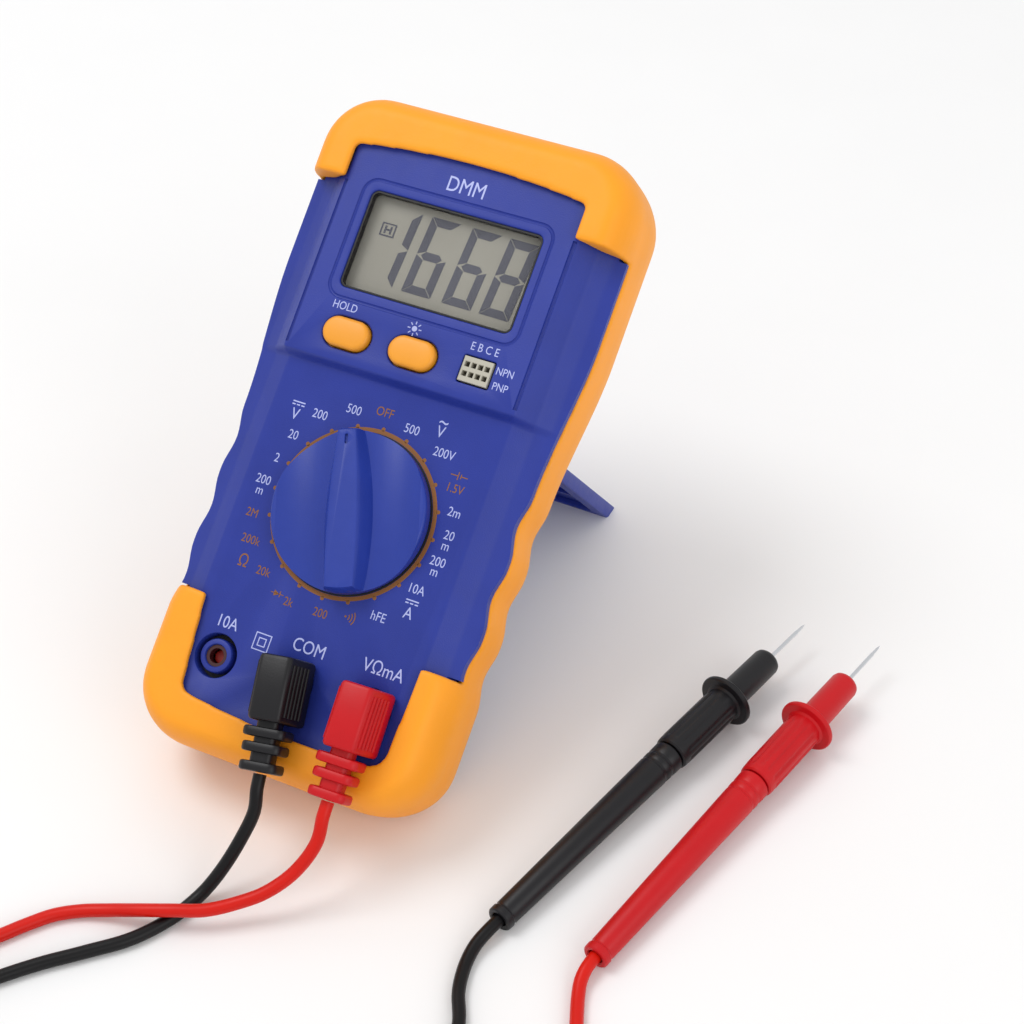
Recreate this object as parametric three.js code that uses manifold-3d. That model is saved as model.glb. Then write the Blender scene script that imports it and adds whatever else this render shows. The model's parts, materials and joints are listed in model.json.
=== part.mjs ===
// A pocket digital multimeter in a rubber holster, leaning back on its kickstand, with two test leads.
// Units are millimetres. +Z is up and the surface that the meter stands on is z = 0.
// The meter is drawn in its own frame: x to the right, y up the face, z out of the face, with the
// origin at the middle of the dial on the face. One turned group then leans the whole meter back.

import * as THREE from "three";
import { mergeVertices } from "three/addons/utils/BufferGeometryUtils.js";
import Module from "manifold-3d";

const wasm = await Module();
wasm.setup();

// ---------------------------------------------------------------- driving dimensions

const GAP = 0.3; // between pieces that touch
const WALL = 1.8; // moulded shell wall

const LEAN_DEG = 40; // angle of the long axis above the table
const TOP_Y = 82;
const BOTTOM_Y = -53.5;
const HALF_HEAD = 34.5; // half width beside the display
const HALF_GRIP = 32.2; // half width beside the dial
const CORNER = 12.5; // plan radius of the four outer corners
const SCALLOPS_Y = [7.5, -7, -21.5]; // finger grooves down each side
const SCALLOP_DEPTH = 1.1;
const SCALLOP_REACH = 6.6;

const FACE_Z = 0; // dial panel
const PANEL_Z = 2.5; // display panel
const STEP_Y = 26.4; // where the display panel drops to the dial panel
const SPLIT_Z = -8; // parting line of the two shells
const BACK_Z = -26; // back of the holster
const CASE_INSET = 1.9; // holster side wall plus its gap
const CASE_BACK_Z = -24;
const PLATEAU_Z = -25.8; // raised back of the case, which fills the holster's window

const LOW_CAP_Z = 1.8;
const HIGH_CAP_Z = 4.3;
const LOW_CAP_Y = -23.8; // upper edge of the bottom cap
const HIGH_CAP_Y = 63; // lower edge of the top cap
const RIM_Z = -6; // front edge of the holster's side rims
const CAP_EDGE = { thick: 9.5, size: 5, steps: 3 }; // rounding of the caps' front edges

const JACKS = { jack_10a: -17, jack_com: 0, jack_vma: 17 }; // x of each jack
const JACK_Y = -34.7;
const BUTTONS = { hold: -13.2, backlight: 1.3 }; // x of each button
const BUTTON_Y = 32.9;
const DIAL_R = 16;
const DIAL_STOPS = 20;
const DIAL_TURN_DEG = 18; // the pointer stands one stop to the left of OFF
const PCB = { top: -5.2, bottom: -6.8 };
const LCD_VIEW = { halfX: 18.8, lowY: 41.8, highY: 62.3 };

const HINGE = { y: 25, z: -23.9, barrel: 1.9, pin: 0.9, hole: 1.2 };
const STAND = { halfX: 22.8, leg: 66, thick: 3.2, rim: 3.2 };
const POCKET = { halfX: 23.2, lowY: -42, highY: 28, floorZ: -21.5 }; // holds the folded stand
const BATTERY_BAY = { halfX: 24.6, lowY: 30.4, highY: 58.6, floorZ: -24.6 };
const CASE_SCREWS = [[-22.5, -45.5], [22.5, -45.5], [-25.5, 73.5], [25.5, 73.5]];
const BOARD_SCREWS = [[-22.5, 20], [22.5, 20]];

// ---------------------------------------------------------------- materials

const finish = (color, roughness, metalness = 0) => ({ color, roughness, metalness });
const BLUE = finish(0x333f99, 0.45);
const KNOB_BLUE = finish(0x2b3aa0, 0.4);
const ORANGE = finish(0xf08a18, 0.55);
const BLACK = finish(0x1b1b1f, 0.5);
const RED = finish(0xcc1f22, 0.45);
const STEEL = finish(0xb4b6ba, 0.3, 1);
const BRASS = finish(0xb9975a, 0.35, 1);
const BOARD = finish(0x8a6a3a, 0.6);
const GREY = finish(0x9a9aa0, 0.5);
const WHITE = finish(0xe8e8e4, 0.5);
const GLASS = finish(0x9a938a, 0.15);
const CLEAR = finish(0xdfe6ea, 0.08);

// ---------------------------------------------------------------- solids from three.js geometry

function solid(geometry) {
  const bare = geometry.clone();
  bare.deleteAttribute("normal");
  bare.deleteAttribute("uv");
  const merged = mergeVertices(bare, 1e-4);
  return new wasm.Manifold(
    new wasm.Mesh({
      numProp: 3,
      vertProperties: merged.attributes.position.array,
      triVerts: new Uint32Array(merged.index.array),
    }),
  );
}

function geometryOf(made) {
  const mesh = made.getMesh();
  const geometry = new THREE.BufferGeometry();
  geometry.setAttribute("position", new THREE.BufferAttribute(mesh.vertProperties, 3));
  geometry.setIndex(new THREE.BufferAttribute(mesh.triVerts, 1));
  return geometry;
}

const joined = (first, ...rest) => rest.reduce((sum, piece) => sum.add(piece), first);
const cut = (first, ...rest) => rest.reduce((left, piece) => left.subtract(piece), first);

function block(x0, x1, y0, y1, z0, z1) {
  const box = new THREE.BoxGeometry(x1 - x0, y1 - y0, z1 - z0);
  return solid(box.translate((x0 + x1) / 2, (y0 + y1) / 2, (z0 + z1) / 2));
}

// A round bar along z.
function bar(radius, z0, z1, x = 0, y = 0, sides = 24) {
  const cylinder = new THREE.CylinderGeometry(radius, radius, z1 - z0, sides);
  return solid(cylinder.rotateX(Math.PI / 2).translate(x, y, (z0 + z1) / 2));
}

// A round bar along x.
function crossBar(radius, x0, x1, y, z, sides = 20) {
  const cylinder = new THREE.CylinderGeometry(radius, radius, x1 - x0, sides);
  return solid(cylinder.rotateZ(-Math.PI / 2).translate((x0 + x1) / 2, y, z));
}

// A turned piece about z: profile points are [radius, z], from the axis round and back to the axis.
function turned(profile, x = 0, y = 0, sides = 24) {
  const points = profile.map(([r, z]) => new THREE.Vector2(r, z));
  return solid(new THREE.LatheGeometry(points, sides).rotateX(Math.PI / 2).translate(x, y, 0));
}

// A flat outline extruded from z0 to z1, with rounded edges where bevel is given.
function slab(shape, z0, z1, bevel = null) {
  if (!bevel) {
    const plain = new THREE.ExtrudeGeometry(shape, { depth: z1 - z0, bevelEnabled: false, curveSegments: 6 });
    return solid(plain.translate(0, 0, z0));
  }
  const rounded = new THREE.ExtrudeGeometry(shape, {
    depth: z1 - z0 - 2 * bevel.thick,
    bevelThickness: bevel.thick,
    bevelSize: bevel.size,
    bevelOffset: -bevel.size,
    bevelSegments: bevel.steps,
    curveSegments: 6,
  });
  return solid(rounded.translate(0, 0, z0 + bevel.thick));
}

// A section in x and z, extruded along y.
function prismAlongY(section, y0, y1) {
  const shape = new THREE.Shape(section.map(([x, z]) => new THREE.Vector2(x, z)));
  const extruded = new THREE.ExtrudeGeometry(shape, { depth: y1 - y0, bevelEnabled: false });
  return solid(extruded.rotateX(Math.PI / 2).translate(0, y1, 0));
}

function stadium(halfX, halfY, x = 0, y = 0) {
  const shape = new THREE.Shape();
  const straight = halfX - halfY;
  shape.absarc(x + straight, y, halfY, -Math.PI / 2, Math.PI / 2, false);
  shape.absarc(x - straight, y, halfY, Math.PI / 2, (3 * Math.PI) / 2, false);
  return shape;
}

function roundedBox(x0, x1, y0, y1, radius) {
  const shape = new THREE.Shape();
  shape.absarc(x1 - radius, y0 + radius, radius, -Math.PI / 2, 0, false);
  shape.absarc(x1 - radius, y1 - radius, radius, 0, Math.PI / 2, false);
  shape.absarc(x0 + radius, y1 - radius, radius, Math.PI / 2, Math.PI, false);
  shape.absarc(x0 + radius, y0 + radius, radius, Math.PI, (3 * Math.PI) / 2, false);
  return shape;
}

// A wire or cord of round section along a curve.
function tube(points, radius, steps, sides = 8) {
  const corners = points.map((p) => new THREE.Vector3(...p));
  const extrudePath = new THREE.CatmullRomCurve3(corners, false, "centripetal");
  const section = new THREE.Shape();
  section.absarc(0, 0, radius, 0, 2 * Math.PI, false);
  const options = { extrudePath, steps, curveSegments: sides, bevelEnabled: false };
  return solid(new THREE.ExtrudeGeometry(section, options));
}

// ---------------------------------------------------------------- scene graph

const part = new THREE.Group();
const meter = new THREE.Group();
meter.rotation.x = THREE.MathUtils.degToRad(LEAN_DEG);
part.add(meter);

function place(group, name, made, look) {
  const mesh = new THREE.Mesh(geometryOf(made), new THREE.MeshStandardMaterial(look));
  mesh.name = name;
  group.add(mesh);
  return mesh;
}

// ---------------------------------------------------------------- outlines of the body

// Half width of the holster at height y: wide head, narrower grip, three finger grooves.
function halfWidth(y, grooved) {
  const rise = THREE.MathUtils.smoothstep(y, 14, 46);
  if (!grooved) return HALF_GRIP + rise * (HALF_HEAD - HALF_GRIP) - SCALLOP_DEPTH;
  const grooves = SCALLOPS_Y.map((centre) => {
    const away = Math.abs(y - centre) / SCALLOP_REACH;
    return away < 1 ? 0.5 * (1 + Math.cos(Math.PI * away)) : 0;
  });
  return HALF_GRIP + rise * (HALF_HEAD - HALF_GRIP) - SCALLOP_DEPTH * Math.max(...grooves);
}

// Outline of the body seen from the front, moved in by inset all round. What is inside the walls
// leaves the grooves out and keeps clear of them.
function plan(inset, grooved = true) {
  const step = grooved ? 3.7 : 12;
  const radius = CORNER - inset;
  const low = BOTTOM_Y + CORNER;
  const high = TOP_Y - CORNER;
  const right = [];
  for (let y = low; y <= high + 0.01; y += (high - low) / Math.round((high - low) / step)) {
    right.push(new THREE.Vector2(halfWidth(y, grooved) - inset, y));
  }
  const corner = (x, y, from) =>
    [1, 2, 3].map((k) => {
      const angle = from + (k * Math.PI) / 8;
      return new THREE.Vector2(x + radius * Math.cos(angle), y + radius * Math.sin(angle));
    });
  const topX = halfWidth(high, grooved) - CORNER;
  const lowX = halfWidth(low, grooved) - CORNER;
  const half = [
    new THREE.Vector2(lowX, BOTTOM_Y + inset),
    ...corner(lowX, low, -Math.PI / 2),
    ...right,
    ...corner(topX, high, 0),
    new THREE.Vector2(topX, TOP_Y - inset),
  ];
  const mirrored = half.map((p) => new THREE.Vector2(-p.x, p.y)).reverse();
  return new THREE.Shape([...half, ...mirrored]);
}

// Right half of the case's front, across the dial and across the display: [x, z].
const DIAL_SECTION = [[HALF_HEAD + 2, -5], [31.2, -3.6], [28.6, -2.6], [24.4, FACE_Z]];
const DISPLAY_SECTION = [[HALF_HEAD + 2, -5], [31.8, -3.4], [28.8, -1.6], [25.2, PANEL_Z]];

// A deep body of the given outline, up to each cap's height, with the caps' rounded front edges.
function upToCaps(outline) {
  const upTo = (z, y0, y1) => slab(outline, -60, z, CAP_EDGE).intersect(block(-50, 50, y0, y1, -70, 20));
  return joined(upTo(LOW_CAP_Z, -90, 10), upTo(HIGH_CAP_Z, 9.9, 100));
}

// The front shell's side lips lie over the holster's rims and are flush with its walls.
function sideLips() {
  const strip = slab(plan(GAP), RIM_Z + GAP, HIGH_CAP_Z);
  return strip.intersect(block(-50, 50, LOW_CAP_Y + GAP, HIGH_CAP_Y - GAP, RIM_Z, HIGH_CAP_Z + 1));
}

// The outer form of the front shell, grown by grow on every side, with or without its side lips.
function frontForm(grow, lips = []) {
  const outline = plan(CASE_INSET - grow, grow >= 0);
  const section = (points) => {
    const right = points.map(([x, z]) => [x + grow, z + grow]);
    const left = right.map(([x, z]) => [-x, z]).reverse();
    return [[right[0][0], SPLIT_Z], ...right, ...left, [-right[0][0], SPLIT_Z]];
  };
  const panels = joined(
    prismAlongY(section(DIAL_SECTION), BOTTOM_Y, STEP_Y + 4),
    prismAlongY(section(DISPLAY_SECTION), STEP_Y - grow, TOP_Y),
  );
  return panels.intersect(joined(upToCaps(outline), ...lips));
}

// The outer form of the rear shell, up to the parting line.
function rearForm(grow) {
  const outline = plan(CASE_INSET - grow, grow >= 0);
  const deep = slab(outline, CASE_BACK_Z - grow, 20, { thick: 13, size: 5.6, steps: 2 });
  const back = cut(deep, block(-50, 50, -90, 90, SPLIT_Z, 30));
  const plateau = (halfX, y0, y1) =>
    slab(roundedBox(-halfX - grow, halfX + grow, y0 - grow, y1 + grow, 3), PLATEAU_Z - grow, CASE_BACK_Z + 3);
  return joined(back, plateau(24.6, -44, 34), plateau(26, 29, 62));
}

const caseForm = (grow, lips) => joined(frontForm(grow, lips), rearForm(grow));
const caseOuter = caseForm(0, [sideLips()]);

// ---------------------------------------------------------------- holster and table contact

const lean = THREE.MathUtils.degToRad(LEAN_DEG);
const TABLE_DROP = 50.6; // from the dial's middle down to the table, measured upright

// Everything below the table once the meter leans: it flattens the holster's heel and the stand's foot.
const underside = new THREE.BoxGeometry(120, 260, 40).translate(0, 40, -20 - TABLE_DROP);
const belowTable = solid(underside.rotateX(-lean));

function holster() {
  const outline = plan(0);
  const deep = slab(outline, BACK_Z, 40, { thick: 15, size: 6, steps: 3 });
  const outer = deep.intersect(upToCaps(outline));
  const sides = block(-50, 50, LOW_CAP_Y, HIGH_CAP_Y, RIM_Z, 20);
  const opening = new THREE.Shape();
  opening.moveTo(-25.1, 0);
  opening.lineTo(-23, -24);
  opening.lineTo(-21.1, -41.2);
  opening.quadraticCurveTo(-20.9, -43.2, -18.9, -43.4);
  opening.quadraticCurveTo(0, -45.8, 20.4, -44.4);
  opening.quadraticCurveTo(23.8, -44, 24, -40.6);
  opening.lineTo(24.6, -24);
  opening.lineTo(25.1, 0);
  opening.lineTo(25.1, 70);
  opening.quadraticCurveTo(0, 73.6, -25.1, 70);
  return cut(outer, caseForm(GAP), sides, slab(opening, -2, 20), belowTable);
}

place(meter, "holster", holster(), ORANGE);

// ---------------------------------------------------------------- front shell

const COLLAR = { ring: 4.4, outer: 3.4, inner: 3.0, mouth: 2.5, mouthZ: -0.6, floorZ: -3.2 };

// The moulded socket round one jack: a cup behind the face with a ring groove and a hollow collar.
function addJackSocket(shell, x) {
  const cup = bar(COLLAR.ring + 0.9, -4.4, -1, x, JACK_Y);
  const collar = bar(COLLAR.outer, SPLIT_Z - 1, FACE_Z - 0.2, x, JACK_Y);
  const groove = cut(bar(COLLAR.ring, COLLAR.floorZ, 5, x, JACK_Y), collar);
  const room = bar(COLLAR.inner, SPLIT_Z - 1, COLLAR.mouthZ, x, JACK_Y);
  return cut(shell.add(cup), groove, room, bar(COLLAR.mouth, SPLIT_Z - 1, 5, x, JACK_Y));
}

// The ring of notches behind the face that the dial's two balls click into.
function detentRing() {
  const radius = 17.9;
  const ring = cut(bar(radius + 1.5, -4.4, -1, 0, 0, 40), bar(radius, -9, 5, 0, 0, 40));
  const notches = Array.from({ length: DIAL_STOPS }, (_, k) => {
    const angle = (2 * Math.PI * (k + 0.5)) / DIAL_STOPS;
    return bar(0.8, -9, -1.8, radius * Math.cos(angle), radius * Math.sin(angle), 6);
  });
  return cut(ring, ...notches);
}

function frontCase() {
  let shell = cut(caseOuter, caseForm(-WALL)).intersect(block(-50, 50, -90, 90, SPLIT_Z, 20));
  const bosses = CASE_SCREWS.map(([x, y]) => bar(3.2, SPLIT_Z, -1, x, y, 16).intersect(caseOuter));
  const posts = BOARD_SCREWS.map(([x, y]) => bar(2.2, PCB.top + GAP, -1, x, y, 12));
  shell = joined(shell, ...bosses, ...posts, detentRing());
  for (const x of Object.values(JACKS)) shell = addJackSocket(shell, x);
  const view = roundedBox(-LCD_VIEW.halfX, LCD_VIEW.halfX, LCD_VIEW.lowY, LCD_VIEW.highY, 1.6);
  const bezel = roundedBox(-21, 21, 39.3, 64.6, 3);
  bezel.holes.push(roundedBox(-20.3, 20.3, 40, 63.9, 2.4));
  const sideGroove = (x) => block(x - 0.4, x + 0.4, STEP_Y + 1.5, 63.5, PANEL_Z - 0.7, 9);
  const screwHoles = CASE_SCREWS.map(([x, y]) => bar(1.5, -20, -3, x, y, 12));
  const postHoles = BOARD_SCREWS.map(([x, y]) => bar(1.1, -20, -2.4, x, y, 10));
  return cut(
    shell,
    slab(view, -3, 9),
    slab(bezel, PANEL_Z - 0.5, 9),
    sideGroove(-25.2),
    sideGroove(25.2),
    ...Object.values(BUTTONS).map((x) => slab(stadium(5.3, 3.3, x, BUTTON_Y), -3, 9)),
    block(11.6, 18.4, 30.3, 35.9, -3, 9),
    bar(7, -3, 5, 0, 0, 32),
    ...screwHoles,
    ...postHoles,
  );
}

place(meter, "front_case", frontCase(), BLUE);

// ---------------------------------------------------------------- rear shell and kickstand

function rearCase() {
  const pocketWall = block(
    -POCKET.halfX - 1.6, POCKET.halfX + 1.6, POCKET.lowY - 1.6, POCKET.highY + 1.6, -30, POCKET.floorZ + WALL,
  );
  const bay = block(
    -BATTERY_BAY.halfX, BATTERY_BAY.halfX, BATTERY_BAY.lowY, BATTERY_BAY.highY, BATTERY_BAY.floorZ, -12,
  );
  const columns = CASE_SCREWS.map(([x, y]) => bar(4.4, -30, SPLIT_Z - GAP, x, y, 16).intersect(rearForm(0)));
  const shell = cut(rearForm(0), cut(rearForm(-WALL), pocketWall), bay);
  const below = joined(shell, ...columns).intersect(block(-50, 50, -90, 90, -40, SPLIT_Z - GAP));
  return cut(
    below,
    block(-POCKET.halfX, POCKET.halfX, POCKET.lowY, POCKET.highY, -30, POCKET.floorZ),
    crossBar(HINGE.hole, -POCKET.halfX - 0.9, POCKET.halfX + 0.9, HINGE.y, HINGE.z, 12),
    ...CASE_SCREWS.flatMap(([x, y]) => [bar(3, -40, -19, x, y, 16), bar(1.5, -20, 0, x, y, 12)]),
  );
}

place(meter, "rear_case", rearCase(), BLUE);

// The stand at rest: opened until it stands straight out of the back, its foot on the table.
function kickstand() {
  const half = STAND.thick / 2;
  const tip = HINGE.z - STAND.leg;
  const plate = block(-STAND.halfX, STAND.halfX, HINGE.y - half, HINGE.y + half, tip, HINGE.z - 1);
  const barrel = crossBar(HINGE.barrel, -STAND.halfX, STAND.halfX, HINGE.y, HINGE.z, 16);
  const hollow = block(
    -STAND.halfX + STAND.rim, STAND.halfX - STAND.rim, HINGE.y - 9, HINGE.y - 0.2, tip + 6, HINGE.z - 4,
  );
  const bore = crossBar(HINGE.hole, -50, 50, HINGE.y, HINGE.z, 12);
  return cut(joined(plate, barrel), hollow, bore, belowTable);
}

place(meter, "kickstand", kickstand(), BLUE);
place(
  meter,
  "stand_hinge_pin",
  crossBar(HINGE.pin, -POCKET.halfX - 0.6, POCKET.halfX + 0.6, HINGE.y, HINGE.z, 12),
  STEEL,
);

// ---------------------------------------------------------------- dial, turned to its first stop

const dial = new THREE.Group();
dial.rotation.z = THREE.MathUtils.degToRad(DIAL_TURN_DEG);
meter.add(dial);

const SCOOP = { radius: 13, x: 8.2, z: 14.6 }; // the hollow on each side of the knob's ridge

function dialKnob() {
  const disc = turned([[0, 0.4], [DIAL_R, 0.4], [DIAL_R, 2.8], [DIAL_R - 0.6, 3.4], [0, 3.4]], 0, 0, 48);
  const scoop = (x) => {
    const roller = new THREE.CylinderGeometry(SCOOP.radius, SCOOP.radius, 3 * DIAL_R, 48);
    return solid(roller.translate(x, 0, SCOOP.z));
  };
  const base = cut(disc, scoop(-SCOOP.x), scoop(SCOOP.x));
  const hub = bar(6.6, -2, 1, 0, 0, 24);
  const ridge = new THREE.Shape();
  ridge.moveTo(-2.2, 15.5);
  ridge.lineTo(-3.7, 2);
  ridge.lineTo(-3.4, -15.5);
  ridge.lineTo(3.4, -15.5);
  ridge.lineTo(3.7, 2);
  ridge.lineTo(2.2, 15.5);
  return cut(joined(base, hub, slab(ridge, 2, 5.8)), bar(3.3, -9, 1.6, 0, 0, 20));
}

// The carrier under the face that turns with the knob, with slots for the two detent springs.
function contactCarrier() {
  const disc = joined(bar(16.4, -4.2, -2.3, 0, 0, 40), bar(3, -3, 1.3, 0, 0, 20));
  const slot = (x0, x1) => block(x0, x1, -1.3, 1.3, -9, 5);
  return cut(disc, slot(11, 20), slot(-20, -11));
}

function detentSpring(side) {
  const turns = 5;
  const points = Array.from({ length: turns * 8 + 1 }, (_, k) => {
    const angle = (2 * Math.PI * k) / 8;
    return [side * (11.6 + (3.2 * k) / (turns * 8)), 0.75 * Math.cos(angle), -3.25 + 0.75 * Math.sin(angle)];
  });
  return tube(points, 0.17, turns * 8, 2);
}

place(dial, "dial_knob", dialKnob(), KNOB_BLUE);
place(dial, "contact_carrier", contactCarrier(), BLACK);
for (const [side, word] of [[-1, "left"], [1, "right"]]) {
  const ball = new THREE.SphereGeometry(0.95, 12, 8).translate(side * 16.2, 0, -3.25);
  place(dial, "detent_ball_" + word, solid(ball), STEEL);
  place(dial, "detent_spring_" + word, detentSpring(side), STEEL);
}
for (const [k, radius] of [[1, 7.5], [2, 11.5]]) {
  place(dial, "wiper_" + k, block(radius - 0.8, radius + 0.8, 3, 10, -4.8, -4.5), BRASS);
}

// ---------------------------------------------------------------- buttons and their switches

for (const [name, x] of Object.entries(BUTTONS)) {
  const cap = slab(stadium(5, 3, x, BUTTON_Y), -1.2, 3.9, { thick: 0.6, size: 0.6, steps: 1 });
  const flange = slab(stadium(6, 4, x, BUTTON_Y), -0.6, 0.4);
  place(meter, name + "_button", joined(cap, flange), ORANGE);
  const body = block(x - 3, x + 3, BUTTON_Y - 3, BUTTON_Y + 3, PCB.top + GAP, -3.2);
  place(meter, name + "_switch", joined(body, bar(1.5, -4, -2.3, x, BUTTON_Y, 12)), GREY);
}

// ---------------------------------------------------------------- display stack

const display = (halfX, y0, y1, z0, z1) => block(-halfX, halfX, y0, y1, z0, z1);
place(meter, "lcd_window", display(21.4, 39.4, 64.6, -0.4, 0.4), CLEAR);
place(meter, "lcd_glass", display(21.4, 39.4, 64.6, -3.1, -0.7), GLASS);
place(meter, "backlight_panel", display(21.4, 42.2, 61.8, -4.6, -3.4), WHITE);
place(meter, "zebra_strip_lower", display(20, 39.8, 41.6, -4.9, -3.4), GREY);
place(meter, "zebra_strip_upper", display(20, 62.4, 64.2, -4.9, -3.4), GREY);
place(meter, "lcd_frame", cut(display(23.6, 37.6, 66.4, -4.9, 0.4), display(21.7, 39.1, 64.9, -9, 9)), BLACK);

// ---------------------------------------------------------------- circuit board and what it carries

function circuitBoard() {
  const inside = slab(plan(CASE_INSET + WALL + 0.8, false), PCB.bottom, PCB.top);
  const outline = inside.intersect(block(-50, 50, -49, 70, -20, 0));
  const bosses = CASE_SCREWS.map(([x, y]) => bar(5, -20, 0, x, y, 16));
  const jackHoles = Object.values(JACKS).map((x) => bar(3, -20, 0, x, JACK_Y, 16));
  const screwHoles = BOARD_SCREWS.map(([x, y]) => bar(1.2, -20, 0, x, y, 10));
  return cut(outline, ...bosses, ...jackHoles, ...screwHoles, block(11.4, 18.6, 30.1, 36.1, -20, 0));
}

place(meter, "circuit_board", circuitBoard(), BOARD);

for (const [name, x] of Object.entries(JACKS)) {
  const sleeve = cut(bar(2.7, -18.6, -0.9, x, JACK_Y, 20), bar(2.3, -18, 5, x, JACK_Y, 20));
  const solderRing = cut(bar(4, -8, -7.1, x, JACK_Y, 20), bar(2.5, -9, 0, x, JACK_Y, 20));
  place(meter, name, joined(sleeve, solderRing), BRASS);
}

function hfeSocket() {
  const half = 0.5;
  const pins = [0, 1, 2, 3].flatMap((column) =>
    [0, 1].map((row) => {
      const x = 15 + (column - 1.5) * 1.42;
      const y = 33.1 + (row - 0.5) * 1.9;
      return block(x - half, x + half, y - half, y + half, -1, 9);
    }),
  );
  return cut(block(11.9, 18.1, 30.6, 35.6, -7, 2.9), ...pins);
}

place(meter, "hfe_socket", hfeSocket(), GREY);
place(meter, "driver_chip", turned([[0, -8.8], [3.6, -8.5], [6.4, -7.1], [0, -7.1]], 0, 10, 20), BLACK);
place(meter, "buzzer", turned([[0, -8.6], [8.4, -8.6], [8.4, -7.1], [0, -7.1]], 14, -12, 28), BRASS);

const FUSE = { y: -21, z: -10.2 };
place(meter, "fuse", crossBar(2.4, -22, -2, FUSE.y, FUSE.z, 14), GLASS);

function fuseClip(x) {
  const { y, z } = FUSE;
  const ring = cut(crossBar(3.3, x - 1.5, x + 1.5, y, z, 14), crossBar(2.7, -50, 50, y, z, 14));
  const mouth = block(-50, 50, y - 1.6, y + 1.6, -20, z - 0.8);
  return joined(cut(ring, mouth), block(x - 1.5, x + 1.5, y - 2, y + 2, -7.7, -7.1));
}

place(meter, "fuse_clip_left", fuseClip(-20.2), BRASS);
place(meter, "fuse_clip_right", fuseClip(-3.8), BRASS);
const SHUNT_Y = -27.5;
const shuntLoop = [[-14, -7.1], [-14, -10], [-11, -12], [-6, -12], [-3, -10], [-3, -7.1]];
const shuntWire = tube(shuntLoop.map(([x, z]) => [x, SHUNT_Y, z]), 0.8, 14, 2);
place(meter, "shunt_wire", shuntWire, BRASS);

// ---------------------------------------------------------------- battery

const studs = [37.9, 50.6]; // the battery's two snap terminals
const BATTERY_Z = -15.8;
const terminals = studs.map((y) => crossBar(2.6, 20, 22.6, y, BATTERY_Z, 12));
place(meter, "battery_9v", joined(block(-24.2, 20.2, 31, 57.5, -24.3, -7.3), ...terminals), GREY);
const sockets = studs.map((y) => crossBar(3, 18, 23, y, BATTERY_Z, 12));
place(meter, "battery_snap", cut(block(20.6, 24.2, 32.5, 56, -21.5, -10), ...sockets), BLACK);
const WIRES = { red: { shift: 0, look: RED }, black: { shift: 3, look: BLACK } };
for (const [name, { shift, look }] of Object.entries(WIRES)) {
  const fromSnap = [[22.4, 32.2, -12 - shift], [22.2, 29, -11.6 - shift]];
  const toBoard = [[21 - shift, 26, -9], [19 - shift, 25.5, -7.1]];
  place(meter, "battery_wire_" + name, tube([...fromSnap, ...toBoard], 0.6, 10, 2), look);
}

// ---------------------------------------------------------------- screws

const CASE_SCREW = { headZ: -19.3, headR: 2.6, shankR: 1.2, length: 15 };
const BOARD_SCREW = { headZ: PCB.bottom - GAP, headR: 2, shankR: 0.8, length: 3.6 };

function screw({ headZ, headR, shankR, length }, [x, y]) {
  const top = headZ - 1.6;
  const end = headZ + length;
  const head = [[0, top], [headR * 0.6, top], [headR, top + 0.7], [headR, headZ], [shankR, headZ]];
  return turned([...head, [shankR, end], [0, end + 0.8]], x, y, 12);
}

CASE_SCREWS.forEach((spot, k) => place(meter, "case_screw_" + (k + 1), screw(CASE_SCREW, spot), STEEL));
BOARD_SCREWS.forEach((spot, k) => place(meter, "board_screw_" + (k + 1), screw(BOARD_SCREW, spot), STEEL));

// ---------------------------------------------------------------- the meter stands at the origin

const reach = new THREE.Box3().setFromObject(meter, true);
meter.position.set(0, -(reach.min.y + reach.max.y) / 2, -reach.min.z);

// ---------------------------------------------------------------- test leads

const CORD_R = 1.3;
const FLOOR_Z = CORD_R + 0.05;
const PLUG = { top: 4.3, bottom: -8.3, tail: -17.9, axisZ: 5.6 }; // y is measured from the jack's middle

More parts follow.
